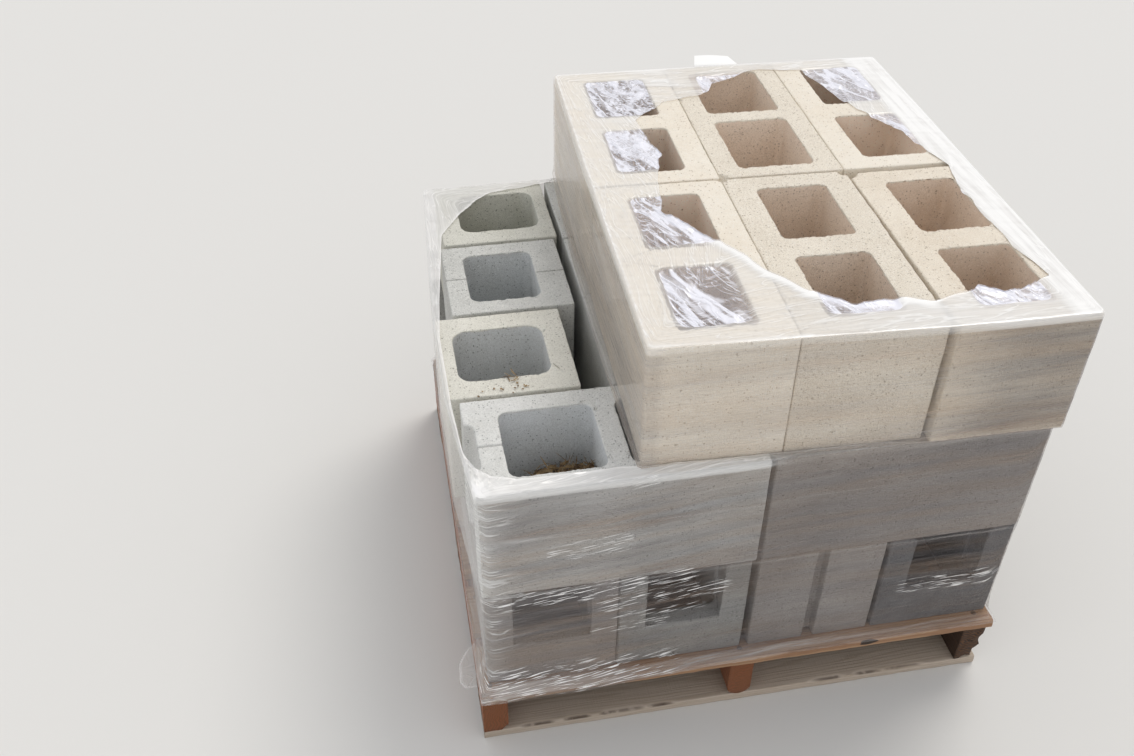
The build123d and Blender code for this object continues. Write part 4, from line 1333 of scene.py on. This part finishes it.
def nail_heads(name, spots, downwards=False):
    """Flat nail heads 8.5 mm across, a little proud of the wood, as discs with a rounded rim."""
    angle = np.arange(12) * np.pi / 6
    radius = np.array([0.01, 2.6, 3.8, 4.25, 4.25, 0.01])[:, None]
    height = np.array([0.45, 0.5, 0.35, 0.05, -1.2, -1.2])[:, None] * np.ones(12)
    disc = np.stack([radius * np.cos(angle), radius * np.sin(angle), -height if downwards else height], -1)
    points = (np.array(spots, float)[:, None] + disc.reshape(-1, 3)).reshape(-1, 3)
    faces = repeated_faces(*disc.shape[:2], len(spots))
    add_piece(name, *weld(points, faces if downwards else faces[:, ::-1]), steel)


stringer_middles = [np.mean([corner.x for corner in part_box(f"stringer_{side}")]) * metre
                    for side in ("left", "middle", "right")]
deck_spots, bottom_spots = [], []
for number in range(1, 8):
    low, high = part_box(f"deck_board_{number}")
    middle = (low.y + high.y) * metre / 2
    deck_spots += [(x + 6 * (-1) ** (number + k), middle + step, high.z * metre)
                   for x in stringer_middles for k, step in enumerate((-27, 24))]
for depth in ("front", "middle", "back"):
    low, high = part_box(f"bottom_board_{depth}")
    middle = (low.y + high.y) * metre / 2
    bottom_spots += [(x + 5 * (-1) ** k, middle + step, 0.4)
                     for x in stringer_middles for k, step in enumerate((-38, 2, 35))]
nail_heads("deck_nails", deck_spots)
nail_heads("bottom_nails", bottom_spots, True)

knot_wood, _, shader, _ = plain_material("knot")
shader.inputs["Base Color"].default_value = (0.035, 0.02, 0.012, 1)
shader.inputs["Roughness"].default_value = 0.7
spin, lean = np.meshgrid(np.linspace(0, 2 * np.pi, 28, endpoint=False), np.linspace(0, np.pi, 12))
knot_x = 197 + (15 + 3 * np.cos(3 * spin)) * np.sin(lean) * np.cos(spin)
knot_z = 115 + 6.0 * np.sin(lean) * np.sin(spin)
knot_y = -411.6 - 1.1 * np.cos(lean)
points = np.stack([knot_x, knot_y, knot_z], -1).reshape(-1, 3)
add_piece("knot_in_lead_board", *weld(points, grid_faces(*spin.shape)[:, ::-1]), knot_wood)

# Studio. A plain pale floor, an even white surround and one broad soft lamp from above and behind
# on the right, which is where the light comes from in the picture.

floor_material, _, shader, _ = plain_material("studio floor")
shader.inputs["Base Color"].default_value = (0.74, 0.73, 0.71, 1)
shader.inputs["Roughness"].default_value = 0.9
floor_half, floor_level = 15, -0.0005
floor_mesh = bpy.data.meshes.new("studio_floor")
floor_mesh.from_pydata([(-floor_half, -floor_half, floor_level), (floor_half, -floor_half, floor_level),
                        (floor_half, floor_half, floor_level), (-floor_half, floor_half, floor_level)],
                       [], [(0, 1, 2, 3)])
floor_mesh.materials.append(floor_material)
floor = bpy.data.objects.new("studio_floor", floor_mesh)
bpy.context.scene.collection.objects.link(floor)

world = bpy.data.worlds.new("studio surround")
world.use_nodes = True
world.node_tree.nodes["Background"].inputs["Color"].default_value = (0.97, 0.98, 1.0, 1)
world.node_tree.nodes["Background"].inputs["Strength"].default_value = 0.78
bpy.context.scene.world = world

lamp_data = bpy.data.lights.new("broad_lamp", "SUN")
lamp_data.energy = 1.12
lamp_data.angle = np.radians(28)
lamp_data.color = (1.0, 0.96, 0.9)
lamp = bpy.data.objects.new("broad_lamp", lamp_data)
bpy.context.scene.collection.objects.link(lamp)
towards_lamp = Vector((0.42, 0.42, 0.8)).normalized()
lamp.rotation_mode = "QUATERNION"
lamp.rotation_quaternion = towards_lamp.to_track_quat("Z", "Y")

# The camera stands where the picture was taken from. Its place, direction and focal length were
# fitted to the corners of the blocks, whose size is known.

camera_place = np.array([-472.0, -1403.8, 1531.6])
camera_forward = np.array([0.14490619, 0.76299021, -0.62995884])
camera_right = np.array([0.98333264, -0.18171309, 0.00610465])
focal_pixels, picture_wide = 1121.07, 1134
camera_data = bpy.data.cameras.new("photo_camera")
camera_data.sensor_width = 36
camera_data.lens = camera_data.sensor_width * focal_pixels / picture_wide
camera = bpy.data.objects.new("photo_camera", camera_data)
bpy.context.scene.collection.objects.link(camera)
camera_down = np.cross(camera_forward, camera_right)
axes = np.stack([camera_right, -camera_down, -camera_forward, camera_place / metre], 1)
camera.matrix_world = Matrix([*axes.tolist(), [0, 0, 0, 1]])
bpy.context.scene.camera = camera
bpy.context.scene.view_settings.view_transform = "Standard"
